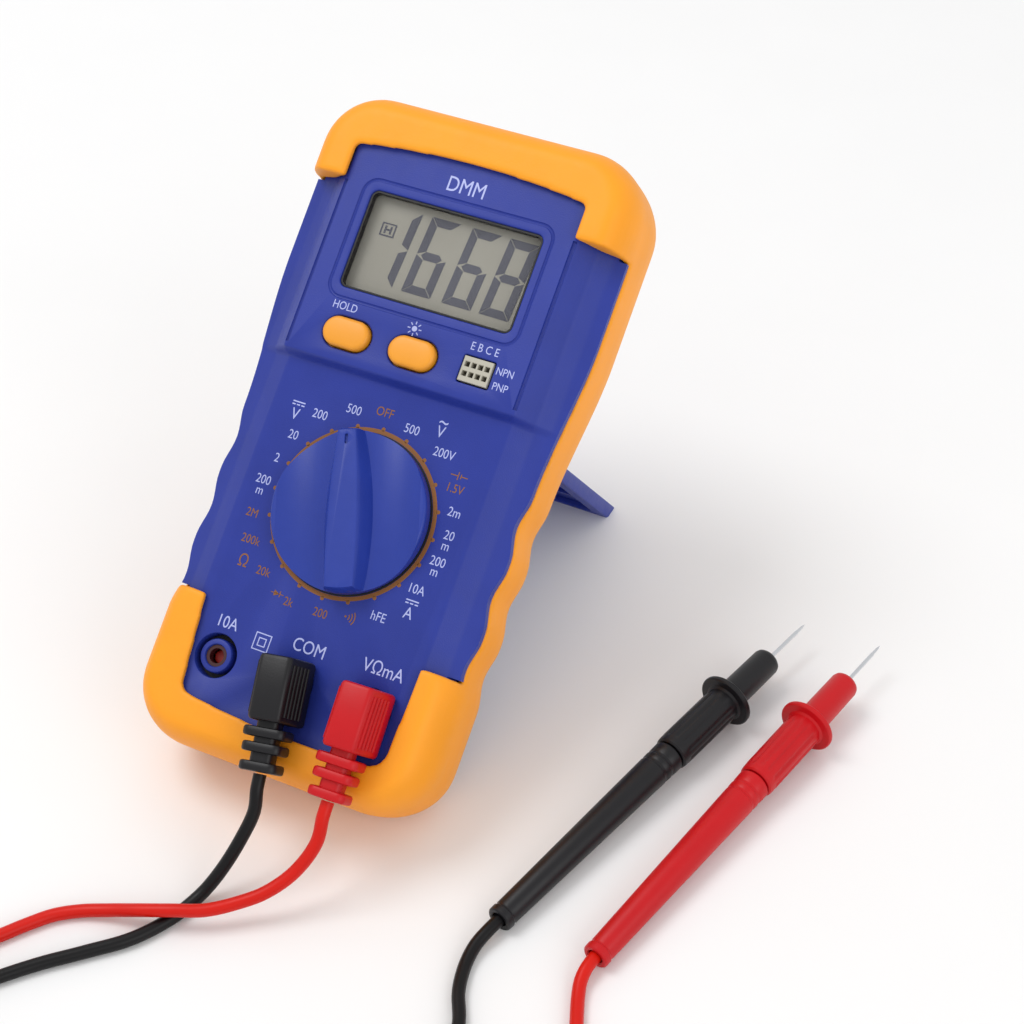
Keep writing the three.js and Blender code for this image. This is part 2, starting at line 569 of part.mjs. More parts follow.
// Each cord: out of its plug, down to the table and off to its coil; then from the coil to its probe.
const LEADS = {
  black: {
    jack: "com",
    turnDeg: 9,
    out: [
      [3.7, -67.2, 15.5], [2.6, -71.6, 10.6], [0.7, -75.9, 5.8],
      [-1.2, -79.5, 2.6], [-2.6, -82.9, 1.5], [-3.9, -86.7, FLOOR_Z], [-7.9, -93.9, FLOOR_Z],
      [-14.1, -100.4, FLOOR_Z], [-20, -106.2, FLOOR_Z],
      [-24.9, -111.8, FLOOR_Z], [-33.2, -122.2, FLOOR_Z],
      [-40.2, -130.4, FLOOR_Z], [-44.4, -135.2, FLOOR_Z],
    ],
    coil: { x: -30, y: -146 },
    back: [
      [-20.2, -161.2, 4.05], [-16, -158.5, 4], [-11.8, -155.8, 3], [-7.2, -152.8, 1.7],
      [0.6, -147.2, FLOOR_Z], [12, -138.6, FLOOR_Z], [24, -130.4, FLOOR_Z],
      [36, -122.4, FLOOR_Z], [47, -113.4, FLOOR_Z], [55, -103.5, FLOOR_Z], [57.8, -93.5, FLOOR_Z],
      [55.4, -84, FLOOR_Z], [52.2, -77.8, FLOOR_Z], [50.6, -71.8, FLOOR_Z],
      [50.5, -67.4, 1.9], [51.4, -63.7, 2.6],
    ],
    probe: { end: [52.1, -61.1, 2.75], turnDeg: -14.8 },
  },
  red: {
    jack: "vma",
    turnDeg: 2,
    out: [
      [17.6, -68, 14.4], [15.3, -72.6, 9.8], [11.5, -77.2, 6.8],
      [7.3, -80.7, 5.3], [2.4, -84.4, 4.6], [-3.2, -87.1, 4.5], [-9.6, -89.3, 3.5], [-15, -90.8, 2.2],
      [-20, -92.8, 1.5], [-24.2, -95.8, FLOOR_Z], [-27.3, -99.6, FLOOR_Z], [-30.3, -103.9, FLOOR_Z],
      [-38.5, -115.5, FLOOR_Z], [-46.5, -127.5, FLOOR_Z], [-53, -139, FLOOR_Z], [-54.6, -150, FLOOR_Z],
      [-50.5, -160.5, FLOOR_Z], [-42, -168.2, FLOOR_Z], [-30, -172.4, FLOOR_Z], [-14, -173, FLOOR_Z],
      [4, -170.6, FLOOR_Z], [22, -166.2, FLOOR_Z], [38, -161.4, FLOOR_Z], [50, -158.6, FLOOR_Z],
      [57.5, -157.8, FLOOR_Z], [64.4, -157.4, FLOOR_Z],
    ],
    coil: { x: 62, y: -139.5 },
    back: [
      [78.2, -143.5, 4.05], [79.6, -137.7, 4.2], [80.7, -133.2, 3.5], [81.8, -127.8, 1.8],
      [82.6, -118, FLOOR_Z], [82.4, -107, FLOOR_Z], [81.2, -96, FLOOR_Z], [79, -86, FLOOR_Z],
      [75, -76, FLOOR_Z], [72.4, -69.6, FLOOR_Z], [71.4, -66.2, 1.9], [71.4, -63.5, 2.6],
    ],
    probe: { end: [71.8, -61, 2.75], turnDeg: -12.8 },
  },
};

function plugBody() {
  const right = [[4.8, GAP], [4.8, 3.4], [3.2, 9.9]];
  const section = [...right, ...right.map(([x, z]) => [-x, z]).reverse()];
  const grip = prismAlongY(section, PLUG.bottom, PLUG.top);
  const neck = block(-2.4, 2.4, PLUG.tail, PLUG.bottom + 1, PLUG.axisZ - 2.2, PLUG.axisZ + 2.2);
  const flange = (y, halfX, halfZ) =>
    block(-halfX, halfX, y, y + 1.9, PLUG.axisZ - halfZ, PLUG.axisZ + halfZ);
  const flanges = [flange(-11.4, 4.7, 3.3), flange(-14.3, 4.5, 3.2), flange(PLUG.tail, 4.2, 3.1)];
  return cut(joined(grip, neck, ...flanges), bar(2.3, -5, 6.3, 0, 0, 16));
}

function plugPin() {
  return turned([[0, -15], [1.3, -15], [2, -14], [2, 6], [0, 6]], 0, 0, 16);
}

// Lengths along the probe from the end where the cord goes in.
const PROBE = { cordIn: 47, handle: 52, guard: 70.2, needleIn: 76, front: 85.6, tip: 98.4, pitchDeg: 2.6 };

// Turned pieces of the probe lie along +y.
const alongProbe = (profile, sides) =>
  solid(new THREE.LatheGeometry(profile.map(([r, y]) => new THREE.Vector2(r, y)), sides));

function probeHandle() {
  const { handle, cordIn } = PROBE;
  const outside = [[1.6, 0], [2.7, 0], [3.4, handle], [2.3, handle]];
  return alongProbe([...outside, [2.3, cordIn - 3], [1.6, cordIn - 4], [1.6, 0]], 14);
}

// A spigot that fits into the handle, the grip, the finger guard and the nose with its needle hole.
function probeGrip() {
  const { handle, guard, front, cordIn, needleIn } = PROBE;
  const spigot = [[0, cordIn + GAP], [2, cordIn + GAP], [2, handle + GAP]];
  const grip = [[3.8, handle + GAP], [3.8, guard], [5.9, guard], [5.9, guard + 1.2]];
  const nose = [[3.1, guard + 2.4], [3, front - 0.5], [2.5, front]];
  const needleHole = [[0.8, front], [0.8, needleIn], [0, needleIn]];
  return alongProbe([...spigot, ...grip, ...nose, ...needleHole], 14);
}

function probeNeedle() {
  const start = PROBE.needleIn + GAP;
  return alongProbe([[0, start], [0.5, start], [0.5, PROBE.tip - 2.5], [0, PROBE.tip]], 8);
}

// The closed outer shape of one coil: a ring round its turns, three side by side in two layers.
const COIL = { radius: 15.3, halfWide: 4.1, high: 5.4 };

function coilRing({ x, y }, grow = 0) {
  const inner = COIL.radius - COIL.halfWide - grow;
  const outer = COIL.radius + COIL.halfWide + grow;
  const top = COIL.high + grow;
  return turned([[inner, -grow], [outer, -grow], [outer, top], [inner, top], [inner, -grow]], x, y, 28);
}

for (const [colour, lead] of Object.entries(LEADS)) {
  const look = colour === "red" ? RED : BLACK;
  const plug = new THREE.Group();
  plug.position.set(JACKS["jack_" + lead.jack], JACK_Y, 0);
  plug.rotation.z = THREE.MathUtils.degToRad(lead.turnDeg);
  meter.add(plug);
  place(plug, lead.jack + "_plug_body", plugBody(), look);
  place(plug, lead.jack + "_plug_pin", plugPin(), BRASS);

  const probe = new THREE.Group();
  probe.position.set(...lead.probe.end);
  const turn = THREE.MathUtils.degToRad(lead.probe.turnDeg);
  probe.rotation.set(THREE.MathUtils.degToRad(PROBE.pitchDeg), 0, turn, "ZXY");
  part.add(probe);
  place(probe, colour + "_probe_handle", probeHandle(), look);
  place(probe, colour + "_probe_grip", probeGrip(), look);
  place(probe, colour + "_probe_needle", probeNeedle(), STEEL);

  probe.updateMatrix();
  const inHandle = [0, PROBE.cordIn / 2, PROBE.cordIn].map((y) =>
    new THREE.Vector3(0, y, 0).applyMatrix4(probe.matrix).toArray(),
  );
  plug.updateWorldMatrix(true, false);
  const fromPlug = [GAP, 3.2].map((out) =>
    new THREE.Vector3(0, PLUG.tail - out, PLUG.axisZ).applyMatrix4(plug.matrixWorld).toArray(),
  );
  const room = coilRing(lead.coil, GAP);
  const cord = (points) => cut(tube(points, CORD_R, 2 * points.length, 2), room);
  place(part, colour + "_cord_out", cord([...fromPlug, ...lead.out]), look);
  place(part, colour + "_cord_coil", coilRing(lead.coil), look);
  place(part, colour + "_cord_back", cord([...lead.back, ...inHandle]), look);
}

export default part;
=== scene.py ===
"""Looks of a pocket multimeter in its rubber holster, with two test leads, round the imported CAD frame.

Every shape is drawn in millimetres in the frame of its own piece and turned into metres when it is placed.
The meter's frame has x to the right, y up the face and z out of it, with the origin at the dial's middle.
"""

import json
import math

import bmesh
import bpy
from mathutils import Matrix, Vector


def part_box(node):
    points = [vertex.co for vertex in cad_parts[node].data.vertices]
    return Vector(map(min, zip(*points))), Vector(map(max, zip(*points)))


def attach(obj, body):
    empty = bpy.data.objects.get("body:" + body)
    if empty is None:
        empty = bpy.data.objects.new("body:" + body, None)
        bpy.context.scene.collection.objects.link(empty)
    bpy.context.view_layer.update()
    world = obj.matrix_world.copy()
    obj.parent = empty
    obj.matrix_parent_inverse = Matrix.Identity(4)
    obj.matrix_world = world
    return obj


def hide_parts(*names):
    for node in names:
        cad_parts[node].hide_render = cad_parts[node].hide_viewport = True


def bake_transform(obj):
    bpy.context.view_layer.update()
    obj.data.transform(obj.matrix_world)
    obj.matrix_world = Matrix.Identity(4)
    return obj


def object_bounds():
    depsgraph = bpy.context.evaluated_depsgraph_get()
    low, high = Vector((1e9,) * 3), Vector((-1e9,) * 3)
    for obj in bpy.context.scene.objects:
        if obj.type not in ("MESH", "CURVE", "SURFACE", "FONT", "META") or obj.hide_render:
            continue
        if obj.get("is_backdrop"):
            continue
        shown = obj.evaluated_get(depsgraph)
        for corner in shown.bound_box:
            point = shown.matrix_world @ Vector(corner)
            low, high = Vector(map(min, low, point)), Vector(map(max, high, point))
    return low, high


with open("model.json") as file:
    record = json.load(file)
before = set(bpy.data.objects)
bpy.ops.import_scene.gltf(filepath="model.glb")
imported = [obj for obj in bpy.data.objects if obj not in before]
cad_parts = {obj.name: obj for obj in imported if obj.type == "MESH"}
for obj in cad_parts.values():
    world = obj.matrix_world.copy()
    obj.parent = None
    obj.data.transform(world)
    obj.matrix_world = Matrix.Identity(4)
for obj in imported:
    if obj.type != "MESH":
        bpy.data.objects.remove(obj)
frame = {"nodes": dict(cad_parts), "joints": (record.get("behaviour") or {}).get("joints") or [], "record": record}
cad_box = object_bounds()

MM = 0.001
GAP = 0.3  # clear space between two pieces, as in the CAD

# ---------------- frames of the pieces


def joint(name):
    return next(j for j in frame["joints"] if j["name"] == name)


def frame_matrix(origin_mm, x_axis, z_axis):
    """Turns millimetres in a piece's own frame into metres in the row frame."""
    x, z = Vector(x_axis).normalized(), Vector(z_axis).normalized()
    turned = Matrix((x, z.cross(x), z)).transposed().to_4x4()
    return Matrix.Translation(Vector(origin_mm) * MM) @ turned @ Matrix.Scale(MM, 4)


FACE = frame_matrix(Vector(joint("dial_turn")["pos_m"]) / MM, (1, 0, 0), joint("dial_turn")["axis"])
FLAT = Matrix.Scale(MM, 4)


def turned_in(place, x, y, degrees):
    return place @ Matrix.Translation((x, y, 0)) @ Matrix.Rotation(math.radians(degrees), 4, "Z")


# ---------------- driving sizes, as in the CAD

TOP_Y, BOTTOM_Y = 82, -53.5
HALF_HEAD, HALF_GRIP = 34.5, 32.2
CORNER = 12.5
SCALLOPS_Y = (7.5, -7, -21.5)
SCALLOP_DEPTH, SCALLOP_REACH = 1.1, 6.6
PANEL_Z = 2.5
STEP_LOW_Y, STEP_HIGH_Y = 25.5, 27.4
SPLIT_Z, RIM_Z = -8, -6
BACK_Z, CASE_BACK_Z, PLATEAU_Z = -26, -24, -25.8
CASE_INSET, WALL = 1.9, 1.8
LOW_CAP_Z, HIGH_CAP_Z = 1.8, 4.3
CAP_EDGE = 9.5, 5  # depth and width of the rounding of the caps' front edges
LOW_CAP_Y, HIGH_CAP_Y = -23.8, 63
JACKS_X = {"10a": -17, "com": 0, "vma": 17}
JACK_Y = -34.7
BUTTONS_X = {"hold": -13.2, "backlight": 1.3}
BUTTON_Y, BUTTON_HALF_X, BUTTON_HALF_Y = 32.9, 5, 3
VIEW = {"half_x": 18.8, "low_y": 41.8, "high_y": 62.3}
DIAL_R = 16
DIAL_STOPS, DIAL_TURN = 20, 18
HINGE_Y, HINGE_Z = 25, -23.9
POCKET = 23.2, -42, 28, -21.5  # half width, low y, high y and floor z of the stand's pocket
CORD_R = 1.3
PLUG = {"top": 4.3, "bottom": -8.3, "tail": -17.9, "axis_z": 5.6}
PROBE = {"handle": 52, "guard": 70.2, "front": 85.6, "tip": 98.4, "pitch": 2.6, "cord_in": 47}

# ---------------- objects


def linked(name, data):
    """A new object in the scene, where booleans and the depsgraph can see it."""
    made = bpy.data.objects.new(name, data)
    bpy.context.scene.collection.objects.link(made)
    return made


def evaluated_mesh(holder):
    """A copy of an object's mesh with its modifiers worked out."""
    bpy.context.view_layer.update()
    return bpy.data.meshes.new_from_object(holder.evaluated_get(bpy.context.evaluated_depsgraph_get()))


# ---------------- camera

AZIMUTH, ELEVATION = math.radians(26.03), math.radians(41.49)
AIM = Vector((22.9, 4.38, 41.4)) * MM
DISTANCE = 0.44
SENSOR, LENS = 36, 77.34


def make_camera():
    back = Vector((
        math.sin(AZIMUTH) * math.cos(ELEVATION),
        -math.cos(AZIMUTH) * math.cos(ELEVATION),
        math.sin(ELEVATION),
    ))
    camera = linked("camera", bpy.data.cameras.new("camera"))
    camera.data.sensor_width = SENSOR
    camera.data.lens = LENS
    camera.data.clip_start, camera.data.clip_end = 0.01, 20
    camera.location = AIM + back * DISTANCE
    camera.rotation_mode = "QUATERNION"
    camera.rotation_quaternion = (-back).to_track_quat("-Z", "Y")
    bpy.context.scene.camera = camera


make_camera()

# ---------------- mesh helpers


def solid(vertices, faces):
    """A bare object with its faces turned outwards."""
    mesh = bpy.data.meshes.new("solid")
    mesh.from_pydata([tuple(v) for v in vertices], [], faces)
    shape = bmesh.new()
    shape.from_mesh(mesh)
    bmesh.ops.recalc_face_normals(shape, faces=shape.faces)
    shape.to_mesh(mesh)
    shape.free()
    return linked("solid", mesh)


def loft(rings, cyclic=False):
    """A closed solid through rings of equal point count: capped at both ends, or joined end to end."""
    count, levels = len(rings[0]), len(rings)
    faces = [] if cyclic else [
        tuple(reversed(range(count))),
        tuple(range((levels - 1) * count, levels * count)),
    ]
    for level in range(levels if cyclic else levels - 1):
        low, high = level * count, (level + 1) % levels * count
        faces += [
            (low + i, low + (i + 1) % count, high + (i + 1) % count, high + i) for i in range(count)
        ]
    return solid([point for ring in rings for point in ring], faces)


def stack(outline, levels):
    """A solid along z: outline(grow) at each of the levels (z, grow)."""
    return loft([[(x, y, z) for x, y in outline(grow)] for z, grow in levels])


def full_turn(sides):
    """Equal angles round a circle."""
    return [2 * math.pi * k / sides for k in range(sides)]


def lathe(profile, sides=64):
    """A solid turned about y: profile points are (radius, y), and a radius of 0 is a fine point."""
    finest = 0.004
    points = [(max(radius, finest), y) for radius, y in profile]
    return loft([[(r * math.cos(a), y, r * math.sin(a)) for a in full_turn(sides)] for r, y in points])


def slab(points, low, high):
    return stack(lambda grow: points, [(low, 0), (high, 0)])


def block(x0, x1, y0, y1, z0, z1):
    return slab([(x0, y0), (x1, y0), (x1, y1), (x0, y1)], z0, z1)


def rounded(x0, x1, y0, y1, radius, steps=8):
    """An outline function: a rectangle with round corners, or a circle or stadium, grown on all sides."""
    def outline(grow=0.0):
        r = max(radius + grow, 0.01)
        corners = [(x1 - radius, y0 + radius, -90), (x1 - radius, y1 - radius, 0),
                   (x0 + radius, y1 - radius, 90), (x0 + radius, y0 + radius, 180)]
        return [
            (cx + r * math.cos(math.radians(start + 90 * k / steps)),
             cy + r * math.sin(math.radians(start + 90 * k / steps)))
            for cx, cy, start in corners for k in range(steps + 1)
        ]
    return outline


def circle(radius, x=0.0, y=0.0, steps=16):
    return rounded(x - radius, x + radius, y - radius, y + radius, radius - 0.001, steps)


def post(radius, x, y, low, high):
    """A round upright solid."""
    return stack(circle(radius, x, y), [(low, 0), (high, 0)])


def quarter(z, size, rise):
    """Levels (z, grow) of a rounded edge that ends at z: rise is -1 for a rim that a cut leaves."""
    steps = 5
    angles = [math.pi / 2 * k / steps for k in range(steps + 1)]
    return [(z - size + size * math.sin(a), -rise * size * (1 - math.cos(a))) for a in angles]


def hole(outline, floor, surface, rim=0.35):
    """A cutter from floor up through surface that leaves the rim rounded."""
    return stack(outline, [(floor, 0), *quarter(surface, rim, -1), (surface + 6, rim)])


def spline(points, spacing):
    """Points close together on a centripetal Catmull-Rom curve through the given ones."""
    known = [Vector(p) for p in points]
    known = [2 * known[0] - known[1], *known, 2 * known[-1] - known[-2]]
    line = []
    for a, b, c, d in zip(known, known[1:], known[2:], known[3:]):
        t1 = (b - a).length ** 0.5
        t2 = t1 + (c - b).length ** 0.5
        t3 = t2 + (d - c).length ** 0.5
        steps = max(1, round((c - b).length / spacing))
        for k in range(steps):
            t = t1 + (t2 - t1) * k / steps
            ab = a.lerp(b, t / t1)
            bc = b.lerp(c, (t - t1) / (t2 - t1))
            cd = c.lerp(d, (t - t2) / (t3 - t2))
            abc, bcd = ab.lerp(bc, t / t2), bc.lerp(cd, (t - t1) / (t3 - t1))
            line.append(abc.lerp(bcd, (t - t1) / (t2 - t1)))
    return [*line, known[-2]]


def tube(line, radius, sides=16, cyclic=False):
    """A round tube along a line of points."""
    line = [Vector(p) for p in line]
    last = len(line) - 1
    side = None
    rings = []
    for i, point in enumerate(line):
        ahead = line[(i + 1) % len(line)] if cyclic else line[min(i + 1, last)]
        behind = line[i - 1] if cyclic else line[max(i - 1, 0)]
        along = (ahead - behind).normalized()
        side = along.orthogonal() if side is None else side - along * side.dot(along)
        side.normalize()
        other = along.cross(side)
        rings.append([
            point + radius * (math.cos(a) * side + math.sin(a) * other) for a in full_turn(sides)
        ])
    return loft(rings, cyclic)


def combined(base, others, operation):
    """The base with other solids cut away, added or intersected; the others are used up."""
    for other in others:
        modifier = base.modifiers.new("combine", "BOOLEAN")
        modifier.operation = operation
        modifier.solver = "EXACT"
        modifier.object = other
    applied(base)
    for other in others:
        bpy.data.meshes.remove(other.data)
    return base


def cut(base, *others):
    return combined(base, others, "DIFFERENCE")


def joined(base, *others):
    return combined(base, others, "UNION")


def shared(base, *others):
    return combined(base, others, "INTERSECT")


def applied(piece):
    shaped = evaluated_mesh(piece)
    piece.modifiers.clear()
    piece.data = shaped


def bevel(piece, width, degrees):
    """Rounds the edges that turn by more than an angle."""
    edge = piece.modifiers.new("bevel", "BEVEL")
    edge.width = width
    edge.segments = 3
    edge.limit_method = "ANGLE"
    edge.angle_limit = math.radians(degrees)


def softened(piece, voxel, passes):
    """The piece with every edge rounded off, as a moulded rubber part's are."""
    remesh = piece.modifiers.new("remesh", "REMESH")
    remesh.mode = "VOXEL"
    remesh.voxel_size = voxel
    smooth = piece.modifiers.new("smooth", "SMOOTH")
    smooth.factor = 0.5
    smooth.iterations = passes
    applied(piece)
    return piece


def joined_loose(pieces):
    """Several solids that stay apart, as one object."""
    shape = bmesh.new()
    for piece in pieces:
        shape.from_mesh(piece.data)
        bpy.data.meshes.remove(piece.data)
    mesh = bpy.data.meshes.new("loose")
    shape.to_mesh(mesh)
    shape.free()
    return linked("loose", mesh)


def ring_about_z(profile, x=0.0, y=0.0, sides=64):
    """A closed ring turned about z at (x, y): profile points are (radius, z), in order round the section."""
    angles = full_turn(sides)
    return loft([[(x + r * math.cos(a), y + r * math.sin(a), z) for a in angles] for r, z in profile], True)


def ring_about_y(profile):
    """The same about y: profile points are (radius, y)."""
    angles = full_turn(48)
    return loft([[(r * math.cos(a), y, r * math.sin(a)) for a in angles] for r, y in profile], True)


def stack_y(outline, levels):
    """A solid along y: outline(grow) in x and z at each of the levels (y, grow)."""
    return loft([[(x, y, z) for x, z in outline(grow)] for y, grow in levels])


def bend(start, corner, end, share):
    """The point at a share of the way along a quadratic curve."""
    return tuple(start.lerp(corner, share).lerp(corner.lerp(end, share), share))


def filleted(corners, radius, steps=4):
    """A closed polygon with each corner turned into a short curve that starts radius away from it."""
    most = 0.45  # of a side, so that the curves of two corners stay apart
    points = []
    for k, corner in enumerate(corners):
        here = Vector(corner)
        start, end = (
            here + side.normalized() * min(radius, side.length * most)
            for side in (Vector(corners[k - 1]) - here, Vector(corners[(k + 1) % len(corners)]) - here)
        )
        points += [bend(start, here, end, step / steps) for step in range(steps + 1)]
    return points


def scaled_outline(points):
    """An outline function for a small closed polygon, grown by moving its points from its middle."""
    middle = sum((Vector(p) for p in points), Vector((0, 0))) / len(points)

    def outline(grow=0.0):
        return [tuple(Vector(p) + (Vector(p) - middle).normalized() * grow) for p in points]

    return outline


def smoothstep(value, low, high):
    t = min(max((value - low) / (high - low), 0), 1)
    return t * t * (3 - 2 * t)


# ---------------- materials

GLOSS_SPREAD = 0.06  # how far the roughness strays to either side
GRAIN_DEPTH = 0.1 * MM


def linear(*screen):
    """A linear colour from its 0 to 255 screen values."""
    shares = (value / 255 for value in screen)
    return [s / 12.92 if s <= 0.04045 else ((s + 0.055) / 1.055) ** 2.4 for s in shares]


def noise(tree, place, size_mm, detail=2.0):
    """A noise texture whose features are about size_mm across."""
    texture = tree.nodes.new("ShaderNodeTexNoise")
    texture.inputs["Scale"].default_value = 1 / MM / size_mm
    texture.inputs["Detail"].default_value = detail
    tree.links.new(place.outputs["Object"], texture.inputs["Vector"])
    return texture.outputs["Fac"]


def surface(name, screen, roughness, grain=0.05, grain_mm=0.3, mottle=0.06, patch_mm=9, **sockets):
    """Plastic, rubber or metal: slow changes of shade, uneven gloss and a fine moulded grain."""
    material = bpy.data.materials.new(name)
    material.use_nodes = True
    tree = material.node_tree
    shader = tree.nodes["Principled BSDF"]
    for socket, value in sockets.items():
        shader.inputs[socket.replace("_", " ")].default_value = value
    place = tree.nodes.new("ShaderNodeTexCoord")

    shade = tree.nodes.new("ShaderNodeValToRGB")
    for end, position, change in zip(shade.color_ramp.elements, (0.35, 0.65), (1 - mottle, 1 + mottle)):
        end.position = position
        end.color = (*(min(1, share * change) for share in linear(*screen)), 1)
    tree.links.new(noise(tree, place, patch_mm, 4), shade.inputs["Fac"])
    tree.links.new(shade.outputs["Color"], shader.inputs["Base Color"])

    gloss = tree.nodes.new("ShaderNodeMapRange")
    gloss.inputs["To Min"].default_value = max(0.02, roughness - GLOSS_SPREAD)
    gloss.inputs["To Max"].default_value = roughness + GLOSS_SPREAD
    tree.links.new(noise(tree, place, patch_mm / 4), gloss.inputs["Value"])
    tree.links.new(gloss.outputs["Result"], shader.inputs["Roughness"])

    bump = tree.nodes.new("ShaderNodeBump")
    bump.inputs["Strength"].default_value = grain
    bump.inputs["Distance"].default_value = GRAIN_DEPTH
    tree.links.new(noise(tree, place, grain_mm), bump.inputs["Height"])
    tree.links.new(bump.outputs["Normal"], shader.inputs["Normal"])
    return material


def brushed(name, screen, roughness):
    return surface(name, screen, roughness, grain=0.15, grain_mm=0.12, mottle=0.04, Metallic=1.0)


BLUE = surface("blue_face", (38, 54, 144), 0.42, 0.3, 0.22, 0.04, Specular_IOR_Level=0.3)
KNOB = surface("blue_knob", (34, 56, 148), 0.36, 0.12, 0.25, 0.04, Specular_IOR_Level=0.35)
RUBBER = surface("orange_rubber", (248, 158, 28), 0.5, 0.3, 0.35, 0.02, Specular_IOR_Level=0.35)
BUTTON = surface("orange_button", (232, 152, 30), 0.42, 0.1, 0.3, 0.02)
BLACK = surface("black_plastic", (17, 16, 20), 0.4, 0.2, 0.3, Specular_IOR_Level=0.35)
RED = surface("red_plastic", (190, 10, 20), 0.4, 0.2, 0.3, 0.03, Specular_IOR_Level=0.3)
BLACK_CORD = surface("black_cord", (10, 9, 11), 0.4, 0.25, 0.5, Specular_IOR_Level=0.25)
RED_CORD = surface("red_cord", (206, 20, 4), 0.4, 0.25, 0.5, 0.03, Specular_IOR_Level=0.25)
GREY = surface("grey_plastic", (176, 172, 158), 0.5)
WHITE = surface("white_plastic", (232, 232, 226), 0.5)
CARBON = surface("carbon_rubber", (60, 60, 62), 0.7)
BOARD = surface("circuit_board", (140, 108, 58), 0.55, mottle=0.15, patch_mm=4)
BRASS = brushed("brass", (196, 160, 96), 0.3)
STEEL = brushed("steel", (188, 190, 194), 0.28)
NEEDLE = brushed("needle_steel", (214, 216, 220), 0.16)
JACKET = surface("battery_jacket", (88, 90, 98), 0.35)
FUSE = surface("fuse_glass", (210, 214, 212), 0.1, grain=0.0)
LCD = surface("lcd_glass", (134, 130, 117), 0.35, 0.04, 0.2, 0.015, Specular_IOR_Level=0.2)
WINDOW = surface("window", (236, 240, 242), 0.08, 0.02, Alpha=0.05)
INK = surface("lcd_ink", (44, 42, 60), 0.5, 0.0, Specular_IOR_Level=0.1)
PALE_PRINT = surface("pale_print", (170, 178, 226), 0.5, 0.0)
BROWN_PRINT = surface("brown_print", (136, 88, 44), 0.5, 0.0, Specular_IOR_Level=0.3)
# painted shade: the near-black of the gap round the knob and of the floors of the jacks' ring grooves
GAP_SHADE = surface("painted_gap_shade", (14, 14, 22), 0.6)
CORE_RED = surface("jack_core", (150, 26, 18), 0.5)
# painted shade: a dark copy of the jack's red plastic for the inside of its bore
JACK_WALL_SHADE = surface("jack_wall_shade", (58, 14, 20), 0.5)
FLOOR = surface("floor", (240, 240, 240), 0.6, grain=0.02, mottle=0.005, patch_mm=60)


def finished(piece, name, place, material, body, slot, replaces=(), smooth=35):
    """Names a piece, turns it into metres at its place, and gives it its material and its body."""
    piece.name = piece.data.name = name
    piece.data.transform(place)
    piece.data.materials.clear()
    piece.data.materials.append(material)
    piece.data.shade_smooth()
    piece.data.set_sharp_from_angle(angle=math.radians(smooth))
    if body:
        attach(piece, body)
    if replaces:
        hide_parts(*replaces)
    return piece


# ---------------- test leads

FLOOR_Z = CORD_R + 0.05
COIL_R, ACROSS, UP = 15.3, 2.75, 2.7  # middle of the turns, and from turn to turn

# Each lead as in the CAD: out of its plug to its coil, the coil's places (column, row), back to its probe.
# A point without a height lies on the floor.
LEADS = {
    "black": {
        "jack": "com", "turn": 9, "material": BLACK_CORD, "plastic": BLACK,
        "out": [
            (3.7, -67.2, 15.5), (2.6, -71.6, 10.6), (0.7, -75.9, 5.8), (-1.2, -79.5, 2.6),
            (-2.6, -82.9, 1.5), (-3.9, -86.7), (-7.9, -93.9), (-14.1, -100.4), (-20, -106.2),
            (-24.9, -111.8), (-33.2, -122.2), (-40.2, -130.4), (-44.4, -135.2),
        ],
        "coil": {"x": -30, "y": -146, "start": 143.1, "turns": 5.444,
                 "slots": [(1, 0), (0, 0), (-1, 0), (-1, 1), (0, 1), (1, 1)]},
        "back": [
            (-20.2, -161.2, 4.05), (-16, -158.5, 4), (-11.8, -155.8, 3), (-7.2, -152.8, 1.7), (0.6, -147.2),
            (12, -138.6), (24, -130.4), (36, -122.4), (47, -113.4), (55, -103.5), (57.8, -93.5),
            (55.4, -84), (52.2, -77.8), (50.6, -71.8), (50.5, -67.4, 1.9), (51.4, -63.7, 2.6),
        ],
        "probe": {"end": (52.1, -61.1, 2.75), "turn": -14.8},
    },
    "red": {
        "jack": "vma", "turn": 2, "material": RED_CORD, "plastic": RED,
        "out": [
            (17.6, -68, 14.4), (15.3, -72.6, 9.8), (11.5, -77.2, 6.8), (7.3, -80.7, 5.3), (2.4, -84.4, 4.6),
            (-3.2, -87.1, 4.5), (-9.6, -89.3, 3.5), (-15, -90.8, 2.2), (-20, -92.8, 1.5), (-24.2, -95.8),
            (-27.3, -99.6), (-30.3, -103.9), (-38.5, -115.5), (-46.5, -127.5), (-53, -139), (-54.6, -150),
            (-50.5, -160.5), (-42, -168.2), (-30, -172.4), (-14, -173), (4, -170.6), (22, -166.2),
            (38, -161.4), (50, -158.6), (57.5, -157.8), (64.4, -157.4),
        ],
        "coil": {"x": 62, "y": -139.5, "start": 277.6, "turns": 4.19,
                 "slots": [(1, 0), (0, 0), (-1, 0), (-0.5, 1), (0.5, 1)]},
        "back": [
            (78.2, -143.5, 4.05), (79.6, -137.7, 4.2), (80.7, -133.2, 3.5), (81.8, -127.8, 1.8),
            (82.6, -118), (82.4, -107), (81.2, -96), (79, -86), (75, -76), (72.4, -69.6),
            (71.4, -66.2, 1.9), (71.4, -63.5, 2.6),
        ],
        "probe": {"end": (71.8, -61, 2.75), "turn": -12.8},
    },
}


def coil_points(x, y, start, turns, slots):
    """Points round a coil: each turn keeps its place, then climbs and shifts to the next place."""
    per_turn = 20
    points = []
    for k in range(1, round(turns * per_turn)):
        done = k / per_turn
        turn = int(done)
        here, following = slots[turn], slots[min(turn + 1, len(slots) - 1)]
        climb, shift = smoothstep(done - turn, 0.4, 0.7), smoothstep(done - turn, 0.7, 1)
        column = here[0] + (following[0] - here[0]) * shift
        row = here[1] + (following[1] - here[1]) * climb
        angle = math.radians(start + 360 * done)
        radius = COIL_R + ACROSS * column
        points.append((x + radius * math.cos(angle), y + radius * math.sin(angle), FLOOR_Z + UP * row))
    return points


